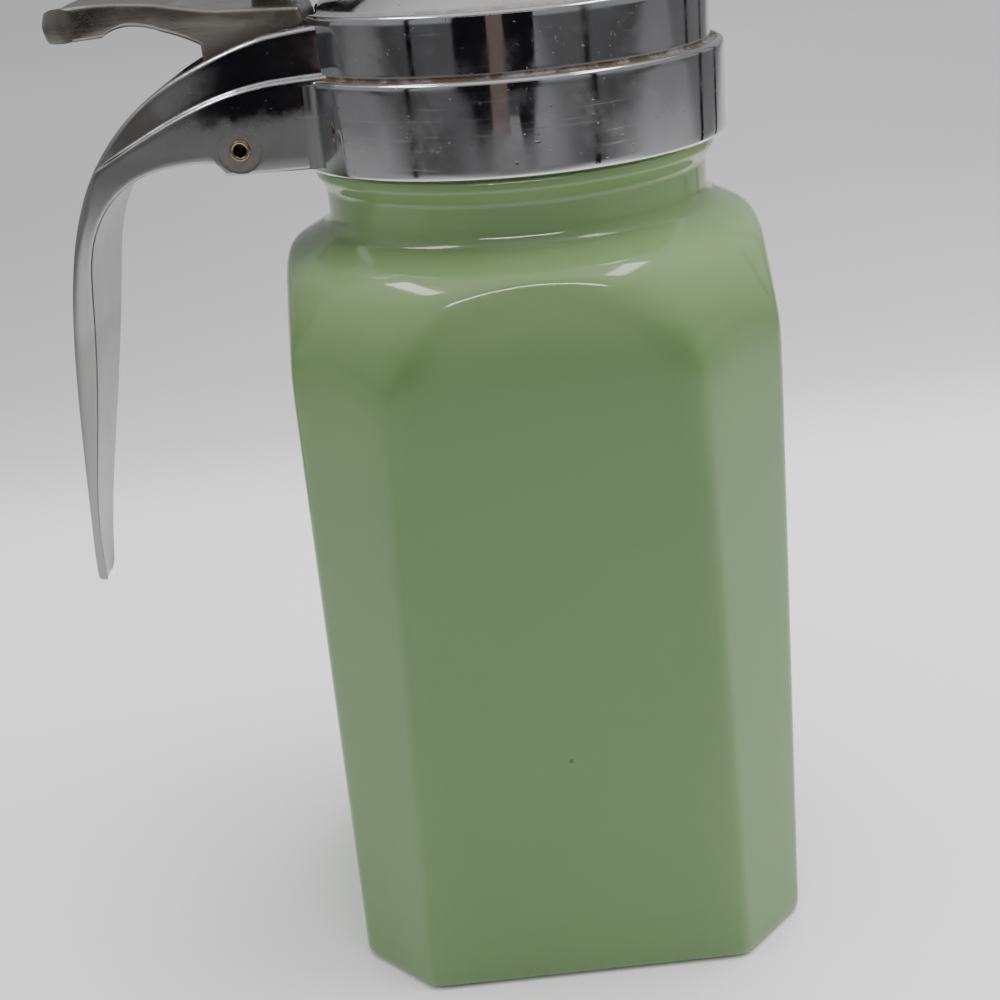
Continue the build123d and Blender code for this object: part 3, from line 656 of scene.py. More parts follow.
def passage_ring(radius, depth, way):
    """Level ring of the passage, a cone that leans forward by the spout's tilt; depth is measured down from
    the track, way holds unit vectors."""
    grown = radius + SPOUT_SPREAD * depth * LIP_STRETCH
    x = MOUTH_X - depth * math.tan(SPOUT_TILT) + grown * LIP_STRETCH * way[:, 0]
    return np.c_[x, grown * way[:, 1], np.broadcast_to(TRACK_Z - depth, len(way))]


def block(name, low, high):
    """Plain box used as a cutter."""
    plan = [(low[0], low[1]), (high[0], low[1]), (high[0], high[1]), (low[0], high[1])]
    return skin(name, np.array([[(x, y, z) for x, y in plan] for z in (low[2], high[2])]), lids=True)


def effect_group(name, outputs):
    """Empty node group with inputs for scale and amount, and masks as outputs."""
    group = bpy.data.node_groups.new(name, "ShaderNodeTree")
    for key in ("Scale", "Amount"):
        group.interface.new_socket(name=key, in_out="INPUT", socket_type="NodeSocketFloat").default_value = 1.0
    for key in outputs:
        group.interface.new_socket(name=key, in_out="OUTPUT", socket_type="NodeSocketFloat")
    return group, group.nodes.new("NodeGroupInput").outputs, group.nodes.new("NodeGroupOutput").inputs


def plating_wear():
    """Old plating: cloudy haze, a film of tarnish in blotches, fine pits, and short hair scratches."""
    group, given, result = effect_group("plating_wear", ("Haze", "Film", "Pits", "Scratches"))
    place = node(group, "TexCoord").outputs["Object"]
    drawn_out = stretched(place, (1.0, 1.0, 28.0), (0.3, 0.2, 0.1))

    def grain(scale, *settings, at=place):
        """Noise whose scale the group's input multiplies."""
        return noise(at, times(given["Scale"], scale), *settings)

    fine = times(grain(420.0, 3.0, 0.6), 0.35)
    for key, value, low, high in (
        ("Haze", plus(grain(90.0, 6.0, 0.62), fine), 0.5, 0.95),
        ("Film", grain(55.0, 7.0, 0.7, 0.8), 0.55, 0.74),
        ("Pits", grain(1500.0), 0.69, 0.79),
        ("Scratches", grain(60.0, 3.0, 0.7, at=drawn_out), 0.6, 0.72),
    ):
        group.links.new(times(fade(value, low, high), given["Amount"]), result[key])
    return group


PLATING_WEAR = plating_wear()
# The first colour darkens dirt, and painted shade on the lever's shank.
DIRT_AND_SHADE, BARE_PIT, RUBBED_PLATE = (0.075, 0.052, 0.032), (0.09, 0.08, 0.07), (0.29, 0.29, 0.285)
WAVE_H = 0.00005          # height of the surface's waves and pits


def metal_finish(
    name, bright, tarnish, polish=0.045, dull=0.22, amount=1.0, scale=1.0, dirt_and_shade=None, brushed=0.0, rubbed=None
):
    """Worn metal: tarnish colours the film, haze and scratches dull it, pits dent it; the dark mask adds
    dirt on the top and handle and painted shade on the lever's shank, and rubbed one of plating gone grey and
    dull."""
    material, tree, shader = new_finish(name, Metallic=1.0, Roughness=polish)
    marks = node(tree, "Group", node_tree=PLATING_WEAR, Scale=scale, Amount=amount).outputs
    place, x, y, z = object_place(tree)
    colour = blend_colour(times(marks["Film"], 0.55), bright, tarnish)
    colour = blend_colour(times(marks["Pits"], 0.6), colour, BARE_PIT)
    rough = polish
    for mark, share in (("Haze", 0.6), ("Film", 0.5), ("Scratches", 0.4)):
        rough = plus(rough, times(marks[mark], dull * share))
    if rubbed:
        rub = rubbed(place, x, z)
        colour = blend_colour(times(rub, 0.85), colour, RUBBED_PLATE)
        rough = plus(rough, times(rub, 0.26))
    # The dark mask: dirt, and on the lever's shank painted shade.
    if dirt_and_shade:
        dirt_and_shade_mask = dirt_and_shade(place, x, y, z)
        colour = blend_colour(dirt_and_shade_mask, colour, DIRT_AND_SHADE)
        rough = largest(rough, times(dirt_and_shade_mask, 0.75))
        bare = less(1.0, times(dirt_and_shade_mask, 0.9))
        tree.links.new(bare, shader.inputs["Metallic"])
    height = less(noise(place, 120.0), times(marks["Pits"], 0.5))
    if brushed:
        grain = noise(stretched(place, (60.0, 60.0, 2600.0), (0.1, 0.25, 0.0)), 1.0, 3.0, 0.6)
        height = plus(height, times(grain, brushed))
        rough = plus(rough, times(grain, 0.12))
    feed(shader, height, 0.5, WAVE_H, Base_Color=colour, Roughness=rough)
    return material


def ledge_grime(place, x, y, z):
    """Dirt that has settled in the corner over the lower band and round the dome's foot."""
    away = calc("SQRT", squares(x, y))
    band, foot = BAND_Z * MM, UPPER_Z * MM
    lower = times(
        window(z, band - 0.0003, band + 0.0004, 0.0004),
        window(away, 0.0276, 0.0293, 0.0006),
    )
    upper = times(
        window(z, foot - 0.0002, foot + 0.0002, 0.0004),
        window(away, 0.0266, 0.0274, 0.0005), 0.7,
    )
    heavy = ramp(noise(place, 330.0, 5.0, 0.7), [(0.3, 0.45), (0.55, 1.0)])
    return times(largest(lower, upper), heavy, clamp=True)


PLATE, PLATE_TARNISH = (0.54, 0.54, 0.55), (0.36, 0.31, 0.25)
plating = metal_finish("plated_casting", PLATE, PLATE_TARNISH, dirt_and_shade=ledge_grime)

PIVOT = np.array(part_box("lever_rivet")).mean(axis=0)[[0, 2]] / MM
CHANNEL_HALF = 10.0
NOTCH_Z = PIVOT[1] + 13.8

top = skin("screw_top", top_rings())
passage = np.stack([passage_ring(MOUTH_R + 0.15, depth, unit(around(64))) for depth in (-1.0, 16.0)])
cut_away(
    top,
    block("notch", (-40.0, -CHANNEL_HALF, NOTCH_Z), (PIVOT[0] + 12.2, CHANNEL_HALF, TRACK_Z + 2.0)),
    skin("passage", passage, lids=True),
)
top.data.materials.append(plating)
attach(top, "top")
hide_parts("top_casting")


# ---- Cast top: spout and blade track --------------------------------------------------
# The flat track for the blade runs over the dome and narrows to the leaning spout, whose
# mouth opens upwards in it; two low rails keep the blade straight.
TRACK_BACK_X, TRACK_FRONT_X = 9.4 - UPPER_R, SPOUT_LIP_X - 12.3
TRACK_HALF, TRACK_ROUND = 10.6, 4.0
RAIL_HALF, RAIL_TOP, RAIL_ROUND = 7.3, 1.6, 1.0
LIP_ROUND, MOUTH_ROUND = 0.55, 0.4
SUNK = 1.0                # the track and the spout end this far inside the dome


def track_outline():
    """Plan of track and spout: rounded rear corners, straight sides, tapering flanks, then the lip's half
    ellipse."""
    corners = [(TRACK_BACK_X, 0), (TRACK_BACK_X, TRACK_HALF), (TRACK_FRONT_X, TRACK_HALF), (SPOUT_LIP_X, SPOUT_R)]
    side = no_longer_than(softened_path(corners, [0, TRACK_ROUND, 10.0, 0], 12), 1.2)
    swing = np.linspace(QUARTER, 0.0, 22)
    lip = np.c_[SPOUT_LIP_X + SPOUT_R * LIP_STRETCH * np.cos(swing), SPOUT_R * np.sin(swing)]
    half_line = np.concatenate([side, lip[1:]])
    return np.concatenate([half_line, half_line[-2:0:-1] * [1, -1]])


def outward(line):
    """Unit normals of a closed plan outline, turned away from its middle."""
    along = np.roll(line, -1, axis=0) - np.roll(line, 1, axis=0)
    normal = np.c_[along[:, 1], -along[:, 0]] / np.hypot(*along.T)[:, None]
    area = 0.5 * np.sum(line[:, 0] * np.roll(line[:, 1], -1) - np.roll(line[:, 0], -1) * line[:, 1])
    return normal * np.sign(area)


def dome_height(x, y):
    """Height of the dome over a plan point; outside its foot the height drops steeply, like the band's wall."""
    away = np.hypot(x, y)
    cap = DOME_Z - DOME_BALL + np.sqrt(np.maximum(DOME_BALL**2 - away**2, 0.0))
    return np.where(away < DOME_FOOT_R, cap, UPPER_Z - 8.0 * (away - DOME_FOOT_R))


def depth_to_dome(line, normal, lean):
    """How far each point goes down before it is sunk in the dome, straight down or along the leaning cone."""
    depth = np.linspace(0.0, 12.0, 97)[:, None]
    x = line[:, 0] + lean * (normal[:, 0] * SPOUT_SPREAD * LIP_STRETCH - math.tan(SPOUT_TILT)) * depth
    y = line[:, 1] + lean * normal[:, 1] * SPOUT_SPREAD * LIP_STRETCH * depth
    inside = TRACK_Z - depth < dome_height(x, y) - SUNK
    return depth[np.argmax(inside, axis=0), 0]


def spout_rings():
    """Rings from the bottom of the passage up to the mouth, over the flat, round its edge and down the outside,
    where each point goes straight down beside the track and along the leaning cone at the spout."""
    line = track_outline()
    normal, level = outward(line), np.ones(len(line))
    way = unit(np.arctan2(line[:, 1], line[:, 0] - MOUTH_X))
    share = np.clip((line[:, 0] - TRACK_FRONT_X) / (SPOUT_LIP_X - TRACK_FRONT_X), 0.0, 1.0)
    lean = share * share * (3.0 - 2.0 * share)
    lining = depth_to_dome(np.array([MOUTH_X, 0.0]) + MOUTH_R * way * [LIP_STRETCH, 1.0], way, level)
    outside = depth_to_dome(line, normal, lean)
    rings = [passage_ring(MOUTH_R, lining * part, way) for part in (1.0, 0.6, 0.3, 0.1)]
    for turn in np.linspace(0.0, QUARTER, 5):
        radius = MOUTH_R + MOUTH_ROUND * (1.0 - math.cos(turn))
        height = TRACK_Z - MOUTH_ROUND * (1.0 - math.sin(turn))
        rings.append(np.c_[MOUTH_X + radius * LIP_STRETCH * way[:, 0], radius * way[:, 1], level * height])
    for turn in np.linspace(0.0, QUARTER, 6):
        at = line - normal * LIP_ROUND * (1.0 - math.sin(turn))
        rings.append(np.c_[at, level * (TRACK_Z - LIP_ROUND * (1.0 - math.cos(turn)))])
    for part in (0.2, 0.4, 0.6, 0.8, 1.0):
        down = (outside - LIP_ROUND) * part
        move = normal * (SPOUT_SPREAD * LIP_STRETCH * lean * down)[:, None]
        move[:, 0] -= math.tan(SPOUT_TILT) * lean * down
        rings.append(np.c_[line + move, TRACK_Z - LIP_ROUND - down])
    return np.array(rings)


def round_plan(low, high, radius, steps):
    """Plan of a rectangle with round corners, from the middle of its left side."""
    (x0, y0), (x1, y1) = low[:2], high[:2]
    middle = (x0, (y0 + y1) / 2)
    corners = [middle, (x0, y0), (x1, y0), (x1, y1), (x0, y1), middle]
    return softened_path(corners, [0, *[radius] * 4, 0], steps)[:-1]


def rounded_bar(name, low, high, round_by):
    """Bar with all upright and upper edges rounded: plan outline with round corners, stacked and drawn in at
    the top."""
    plan = round_plan(low, high, round_by, 7)
    rim = min(round_by, 0.35)
    turn = np.linspace(0.0, QUARTER, 5)[:, None, None]
    drawn_in = plan - outward(plan) * rim * (1.0 - np.cos(turn))
    top = np.concatenate([drawn_in, np.broadcast_to(high[2] - rim + rim * np.sin(turn), (5, len(plan), 1))], -1)
    foot = np.c_[plan, np.full(len(plan), low[2])][None]
    return skin(name, np.concatenate([foot, top]), lids=True)


spout = skin("spout_and_track", spout_rings(), loop=True, sharp=40.0)
spout.data.materials.append(plating)
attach(spout, "top")
for name, y0, y1 in (("rail_near", -TRACK_HALF, -RAIL_HALF), ("rail_far", RAIL_HALF, TRACK_HALF)):
    low, high = (TRACK_BACK_X + 4.0, y0, TRACK_Z - 0.6), (TRACK_FRONT_X - 3.0, y1, TRACK_Z + RAIL_TOP)
    rail = rounded_bar(name, low, high, RAIL_ROUND)
    rail.data.materials.append(plating)
    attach(rail, "top")


# ---- Cast top: handle -----------------------------------------------------------------
# The handle is cast in one with the bands: two cheeks hold the lever at the root, the
# back arches over into a tapering grip, and a narrow ledge runs along each side of it.
# Towards the bands it widens a little and ends in a hollow-curved web on the lower band.
BEND_HALF, BEND_OUT = 12.6, 19.0      # half width at the bend and its way out from the pivot
TIER_HALF = BEND_HALF - 1.2
FLARE = 0.07                          # each side spreads by this share of the way in from the bend
BOSS_DROP = 3.2
TIP_DROP = PIVOT[1] - TIP_Z
ROOT_R = 28.15                        # the cheeks end in the wall of the bands
STOP_TILT, STOP_OFF = math.radians(30.0), 3.9       # slanted wall that stops the lever, off the pivot
SPOT_R, SPOT_DEPTH, WEB_R = 3.0, 0.35, 3.0
RIVET_SEAT = BEND_HALF + FLARE * BEND_OUT - SPOT_DEPTH
RIVET_WAY_R = 1.15
EDGE_ROUND, LEDGE_ROUND, INNER_ROUND, BACK_ROUND, TIP_ROUND = 0.5, 0.45, 0.35, 0.55, 2.2
CROWN, BELLY_HOLLOW = 0.45, 0.25      # how far back and belly are arched across


def smooth_curve(points, samples):
    """Natural cubic spline through points, with the distance between them as its parameter: the second
    derivatives solve the usual three-term equations, and each span is the cubic that they give."""
    points = np.asarray(points, float)
    knot = np.concatenate([[0.0], np.cumsum(np.hypot(*np.diff(points[:, :2], axis=0).T))])
    gap, count = np.diff(knot), len(points)
    rows, pulled, inner = np.eye(count), np.zeros_like(points), np.arange(1, count - 1)
    rows[inner, inner - 1], rows[inner, inner + 1] = gap[:-1], gap[1:]
    rows[inner, inner] = 2.0 * (gap[:-1] + gap[1:])
    pulled[1:-1] = 6.0 * np.diff(np.diff(points, axis=0) / gap[:, None], axis=0)
    bend = np.linalg.solve(rows, pulled)
    at = np.linspace(0.0, 1.0, samples) * knot[-1]
    span = np.clip(np.searchsorted(knot, at, side="right") - 1, 0, count - 2)
    wide = gap[span][:, None]
    on, left = (at - knot[span])[:, None], (knot[span + 1] - at)[:, None]
    return (
        bend[span] * left**3 / (6.0 * wide) + bend[span + 1] * on**3 / (6.0 * wide)
        + (points[span] / wide - bend[span] * wide / 6.0) * left
        + (points[span + 1] / wide - bend[span + 1] * wide / 6.0) * on
    )


def crossing(curve, origin, heading):
    """Distance along each line to where it crosses a drawn curve, nearest to the line's origin: the curve's
    points change side of the line there."""
    gap = curve[None] - origin[:, None]
    side = gap[..., 0] * heading[:, None, 1] - gap[..., 1] * heading[:, None, 0]
    along = gap[..., 0] * heading[:, None, 0] + gap[..., 1] * heading[:, None, 1]
    first, second = side[:, :-1], side[:, 1:]
    part = first / np.where(np.abs(first - second) < 1e-12, 1e-12, first - second)
    hit = along[:, :-1] + (along[:, 1:] - along[:, :-1]) * part
    hit = np.where(first * second <= 0.0, hit, np.inf)
    return hit[np.arange(len(origin)), np.abs(hit).argmin(axis=1)]


def handle_lines():
    """Section lines of the handle, from the bands to the tip: origin, heading, and whether the channel is open."""
    stop = (-STOP_OFF * math.cos(STOP_TILT) - 3.0, -STOP_OFF * math.sin(STOP_TILT) + 5.2, 120.0)
    upright = np.linspace([10.0, 4.5, 90.0], [-1.0, 4.5, 90.0], 26)
    front = np.concatenate([upright, np.linspace([-1.0, 4.5, 90.0], stop, 20)[1:]])
    rear = smooth_curve(
        [
            stop, (-9.6, 2.9, 125.0), (-14.8, 0.2, 140.0), (-18.6, -3.1, 150.0), (-20.5, -5.8, 157.0),
            (-23.8, -13.4, 166.0), (-27.3, -29.7, 172.0), (-31.3, 12.6 - TIP_DROP, 174.0),
            (-32.7, 1.0 - TIP_DROP, 175.0),
        ],
        170,
    )
    rear[0] += [-0.02, -0.01, 0.0]
    lines = np.concatenate([front, rear])
    return lines[:, :2], unit(np.radians(lines[:, 2])), np.arange(len(lines)) < len(front)


def half_width(height):
    """Half width of the grip seen from the front, over the height from the pivot."""
    knots = [(0.0, BEND_HALF), (-9.0, 12.5), (-20.6, 10.85), (-34.0, 8.7), (-49.6, 6.7), (0.6 - TIP_DROP, 2.6)]
    points = smooth_curve(knots, 200)
    return np.interp(-height, -points[:, 0], points[:, 1])


def quarter(corner_h, corner_y, radius, come, leave, steps=6):
    """Quarter circle in the corner of a section between two of its sides; come and leave are unit directions
    (h, y)."""
    turn = np.linspace(0.0, QUARTER, steps)
    return [
        corner[:, None] + radius[:, None] * (-into + away + into * np.sin(turn) - away * np.cos(turn))
        for corner, into, away in zip((corner_h, corner_y), come, leave)
    ]


def run(h0, y0, h1, y1, count):
    """Points between two section points, without the ends."""
    part = np.linspace(0.0, 1.0, count + 2)[1:-1]
    return [start[:, None] + (end - start)[:, None] * part for start, end in ((h0, h1), (y0, y1))]


def section_measures():
    """What the handle's sections are measured by, one value each: the curves of its back, its belly and its
    ledge are crossed with the section lines; lower edge, upper edge and ledge are distances along them."""
    outer = smooth_curve(
        [
            (16.0, 15.5), (13.1, 15.2), (5.1, 14.1), (-3.4, 11.4), (-11.9, 7.1), (-17.5, 2.1), (-22.2, -5.0),
            (-25.2, -13.0), (-28.8, -29.5), (-32.0, 12.6 - TIP_DROP), (-33.5, 1.6 - TIP_DROP),
            (-33.7, -TIP_DROP - 1.0),
        ],
        900,
    )
    belly = smooth_curve(
        [
            (-5.9, -1.3), (-12.3, -2.1), (-17.5, -4.8), (-21.5, -10.2), (-23.8, -19.5), (-27.8, -40.0),
            (-31.3, 9.1 - TIP_DROP), (-32.2, 0.9 - TIP_DROP), (-32.4, -TIP_DROP - 1.0),
        ],
        700,
    )
    inner = np.concatenate([[(16.0, -BOSS_DROP), (-2.1, -BOSS_DROP), (-3.4, -1.5)], belly])
    ledge = smooth_curve(
        [(15.1, 8.9), (7.0, 8.5), (-0.6, 7.3), (-8.8, 4.4), (-14.9, 1.5), (-20.3, -1.3), (-26.0, -4.5)], 500
    )
    origin, heading, open_channel = handle_lines()
    low, high, step = (crossing(curve, origin, heading) for curve in (inner, outer, ledge))
    tall = high - low
    step = np.where(np.isfinite(step), np.clip(step - low, 0.0, tall), tall)
    step = np.where(np.maximum.accumulate(step >= tall - 0.02), tall, step)
    return origin, heading, open_channel, low, tall, step


def handle_mesh():
    """Half sections stacked along the handle and mirrored. A section goes from the inner face round the lower
    edge, up the side, over the ledge and the upper tier to the back; where the channel is open it starts
    and ends on the cheek's inner wall, which the next sections close with the wall that stops the lever."""
    origin, heading, open_channel, low, tall, step = section_measures()
    inside = np.where(open_channel, CHANNEL_HALF, 0.0)
    flat = np.zeros(len(origin))
    wide = flat + BEND_HALF
    upper = tall - step
    edge = np.minimum(EDGE_ROUND, tall * 0.22)
    past_bend = np.clip((-origin[:, 0] - BEND_OUT) / 5.0, 0.0, 1.0)
    ledge_r = np.minimum(LEDGE_ROUND + 1.5 * past_bend, step * (0.3 + 0.12 * past_bend))
    inner_r = np.minimum(INNER_ROUND, upper * 0.3)
    top_r = np.where(upper > 1.2, BACK_ROUND, np.minimum(BACK_ROUND, 0.15 + upper * 0.35))
    top_r = np.minimum(top_r, upper * 0.6)
    tier = wide - (BEND_HALF - TIER_HALF) * np.clip((origin[:, 0] + BEND_OUT) / 10.0, 0.0, 1.0)
    tier = np.minimum(tier, wide - ledge_r)
    pieces = [
        (flat[:, None], inside[:, None]), run(flat, inside, flat, wide - edge, 10),
        quarter(flat, wide, edge, (0, 1), (1, 0)), run(edge, wide, step - ledge_r, wide, 6),
        quarter(step, wide, ledge_r, (1, 0), (0, -1)), quarter(step, tier, inner_r, (0, -1), (1, 0), 4),
        run(step + inner_r, tier, tall - top_r, tier, 6), quarter(tall, tier, top_r, (1, 0), (0, -1)),
        run(tall, tier - top_r, tall, inside, 10), (tall[:, None], inside[:, None]),
    ]
    h, y = (np.concatenate(parts, axis=1) for parts in zip(*pieces))
    tall = tall[:, None]
    swell = 1.0 - (y / BEND_HALF) ** 2
    crown = np.clip((h / tall - 0.85) / 0.15, 0.0, 1.0) * swell
    hollow = np.clip(1.0 - h / (0.15 * tall), 0.0, 1.0) * swell
    joined = int(open_channel.sum())
    solid = np.where(open_channel, 0.0, np.clip(np.arange(len(origin)) - joined, 0, 25) / 25.0)[:, None]
    h = h + solid * (CROWN * crown + BELLY_HOLLOW * hollow)
    x, z = (origin[:, k, None] + heading[:, k, None] * (low[:, None] + h) for k in (0, 1))
    y = y * half_width(z) / BEND_HALF
    spread = np.clip((y - CHANNEL_HALF) / (TIER_HALF - 0.6 - CHANNEL_HALF), 0.0, 1.0)
    y = y + spread * FLARE * np.maximum(x + BEND_OUT, 0.0)
    to_tip = np.clip((TIP_DROP + z.mean(axis=1) - 0.2) / TIP_ROUND, 0.0, 1.0)[:, None]
    shrink = np.sqrt(1.0 - (1.0 - to_tip) ** 2)
    middle_x, middle_z = x.mean(axis=1)[:, None], z.mean(axis=1)[:, None]
    x, y, z = middle_x + (x - middle_x) * shrink, y * shrink, middle_z + (z - middle_z) * shrink
    x, z = x + PIVOT[0], z + PIVOT[1]
    start, end = PIVOT[0] + 5.0, -np.sqrt(ROOT_R**2 - y**2)
    x = np.where(x > start, start + (x - start) * (end - start) / (PIVOT[0] + 10.0 - start), x)
    half = np.stack([x, y, z], -1).reshape(-1, 3)
    rows, columns = x.shape
    row = np.arange(joined) * columns
    wall = np.stack([row + columns - 1, row, row + columns, row + 2 * columns - 1], -1)
    faces = np.concatenate([grid_faces(rows, columns, False, False), wall])
    last, count = (rows - 1) * columns, rows * columns
    lids = [list(range(first, first + columns)) for first in (0, last, count, last + count)]
    return np.concatenate([half, half * [1, -1, 1]]), faces.tolist() + (faces + count).tolist() + lids


def across_rings(path, columns, centre=PIVOT):
    """Rings about a level line that runs across the object, from a (radius, place across) outline."""
    x, z, y = np.moveaxis(turned_rings(path, columns), -1, 0)
    return np.stack([centre[0] + x, y, centre[1] + z], -1)


def side_cutter(name, radius, low=-20.0, high=20.0):
    """Round bar across the handle at the pivot, used as a cutter."""
    return skin(name, across_rings(np.array([(radius, low), (radius, high)]), 48), lids=True)


def handle_grime(place, x, y, z):
    """Dull granular film along the cheeks' upper edges and on the ledge, and a stain on the flat spot, within
    its radius of the pivot line, both broken up by the same grain."""
    broken = noise(place, 700.0, 4.0, 0.8)
    tree = place.id_data
    up = node(tree, "SeparateXYZ", Vector=node(tree, "NewGeometry").outputs["Normal"]).outputs[2]
    speckle = ramp(broken, [(0.42, 0.0), (0.62, 0.75)])
    film = times(fade(up, 0.45, 0.85), speckle)
    off_x, off_z = less(x, PIVOT[0] * MM), less(z, PIVOT[1] * MM)
    near = window(calc("SQRT", squares(off_x, off_z)), -0.01, SPOT_R * MM - 0.0001, 0.0003)
    outside = window(calc("ABSOLUTE", y), TIER_HALF * MM, 0.02, 0.001)
    stain = times(near, ramp(broken, [(0.3, 0.15), (0.65, 0.5)]), outside)
    return largest(film, stain)


def rubbed_by_hand(place, x, z):
    """Plating gone dull where the hand holds it: on the grip, behind the cheeks and along their lower part;
    cloudy."""
    cloud = noise(place, 230.0, 5.0, 0.65)
    shift = times(less(cloud, 0.5), 0.006)
    held = (
        (x, PIVOT[0] + 1.0, PIVOT[0] - 9.0, 1.0), (z, PIVOT[1] + 5.4, PIVOT[1] + 2.4, 0.93),
        (z, 112.0, 100.0, 1.18),
    )
    return largest(*(fade(plus(value, shift), start * MM, end * MM, most) for value, start, end, most in held))


def root_web(name, side):
    """Upright web with a hollow round between the handle's side and the lower band: the round's centre lies at
    its radius outside both the flared side line y = rise + FLARE x and the band's circle."""
    steep = math.sqrt(1.0 + FLARE**2)
    line = BEND_HALF + FLARE * (BEND_OUT - PIVOT[0])
    rise, reach = line + WEB_R * steep, BAND_R + WEB_R
    x = (-rise * FLARE - math.sqrt((rise * FLARE) ** 2 - steep**2 * (rise**2 - reach**2))) / steep**2
    centre = np.array([x, rise + FLARE * x])
    on_side = centre + np.array([FLARE, -1.0]) * (WEB_R / steep)
    on_band = centre * (BAND_R / reach)
    start, end = (math.atan2(*(p - centre)[::-1]) for p in (on_side, on_band))
    curve = centre + WEB_R * unit(start + np.linspace(0.0, wrapped(end - start), 14))
    inside = np.array([on_band * (1.0 - 1.5 / BAND_R), on_side - [-1.0, 1.5]])
    plan = np.concatenate([curve, inside]) * [1.0, side]
    low, high = PIVOT[1] - BOSS_DROP + 0.2, BAND_Z - 0.45
    rings = np.stack([np.c_[plan, np.full(len(plan), z)] for z in np.linspace(low, high, 8)])
    return skin(name, rings, lids=True)


plated_handle = metal_finish(
    "plated_handle", PLATE, PLATE_TARNISH, dirt_and_shade=handle_grime, amount=0.45, rubbed=rubbed_by_hand
)
handle = closed_piece("handle", *handle_mesh(), sharp=40.0)
cut_away(
    handle, side_cutter("rivet_way", RIVET_WAY_R),
    side_cutter("spot_near", SPOT_R, -20.0, -RIVET_SEAT), side_cutter("spot_far", SPOT_R, RIVET_SEAT, 20.0),
)
for piece in (handle, root_web("root_web_near", -1.0), root_web("root_web_far", 1.0)):
    piece.data.materials.append(plated_handle)
    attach(piece, "top")


# ---- Thumb lever ----------------------------------------------------------------------
# A cast lever, plated but rubbed dull: a hub between the cheeks, a wide shank with a
# dished rest for the thumb behind, and a horn in front that carries the cross pin.
LEVER_HALF, HUB_R, HUB_NEAR = 9.7, 3.6, 3.6
WIDE_FROM = 5.2
THUMB_Z, THUMB_T, THUMB_L, THUMB_CORNER = 15.1, 4.4, 24.2, 5.0
DISH, DISH_R = 1.3, 30.0
DISH_FROM, DISH_RUN, DRAWN_RUN = 6.0, 4.0, 12.0     # where the dish begins, and how fast dish and corners grow
PIN_LOW, PIN_HIGH = (np.array(corner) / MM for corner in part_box("drive_pin"))
PIN = np.array([PIN_LOW[0] + PIN_HIGH[0], PIN_LOW[2] + PIN_HIGH[2]]) / 2.0
HORN_HALF, HORN_R = 5.6, 2.1
OUTLINE_STEP = 0.9


def arc_through(first, middle, last, count=12):
    """Circle arc through three points: the centre is where the perpendicular bisectors meet."""
    a, b, c = (np.asarray(p, float) for p in (first, middle, last))
    rows = 2.0 * np.array([b - a, c - a])
    centre = np.linalg.solve(rows, [b @ b - a @ a, c @ c - a @ a])
    start, through, end = (math.atan2(*(p - centre)[::-1]) for p in (a, b, c))
    sweep = wrapped(through - start) + wrapped(end - through)
    return centre + np.hypot(*(a - centre)) * unit(start + np.linspace(0.0, sweep, count))


def plate(name, outline, low, high, rim, across="y", steps=4, shape=None, slices=2):
    """Closed plate: an outline carried from low to high, drawn in along its normals by rim at both faces on a
    quarter circle. across names the axis of the carrying; shape(x, y, z) may move the points afterwards."""
    turn = np.linspace(0.0, QUARTER, steps)
    inset, level = rim * (1.0 - np.sin(turn)), rim * (1.0 - np.cos(turn))
    insets = np.concatenate([inset, np.zeros(slices), inset[::-1]])
    between = np.linspace(low + rim, high - rim, slices + 2)[1:-1]
    levels = np.concatenate([low + level, between, high - level[::-1]])
    flat = outline - outward(outline) * insets[:, None, None]
    along = np.broadcast_to(levels[:, None, None], (len(levels), len(outline), 1))
    rings = np.concatenate([flat[..., :1], along, flat[..., 1:]] if across == "y" else [flat, along], -1)
    if shape:
        rings = np.stack(shape(*np.moveaxis(rings, -1, 0)), -1)
    return skin(name, rings, lids=True)


def evenly(outline, step=OUTLINE_STEP):
    """Closed outline with its long runs divided."""
    return no_longer_than(np.concatenate([outline, outline[:1]]), step)[:-1]


def lever_side():
    """Side outline of the wide part, from the pivot: straight back, hollow and crest under the thumb rest,
    rounded end, dished top, low neck over the band, and the slanting shank. Heights are from the rest's foot."""
    back, crest, neck, front = (-HUB_R, -1.7), (-HUB_R - 4.8, 0.4), (-8.6, 4.0), (-1.0, 2.6)
    end_low, end_high = (-THUMB_L, 0.0), (-THUMB_L, THUMB_T)
    shank = [front, (9.9, 2.1), (10.5, 0.3), (10.5, 14.1 - THUMB_Z), (7.4, 14.0 - THUMB_Z), (5.4, 8.4 - THUMB_Z)]
    line = np.concatenate([
        [(-HUB_R, WIDE_FROM - THUMB_Z)],
        arc_through(back, (-HUB_R - 1.9, -0.7), crest),
        arc_through(crest, (-12.5, 1.4), (-17.6, 0.3), 16)[1:],
        arc_through(end_low, (-THUMB_L - 0.5, 2.2), end_high, 10),
        arc_through(end_high, (-16.5, 4.6), neck, 14)[1:],
        arc_through(neck, (-4.8, 3.2), front, 10)[1:],
        softened_path([*shank, (4.56, WIDE_FROM - THUMB_Z)], [0, 0.7, 0.4, 0.4, 0.8, 1.0, 0], 5)[1:],
    ])
    return evenly(line) + PIVOT + [0.0, THUMB_Z]


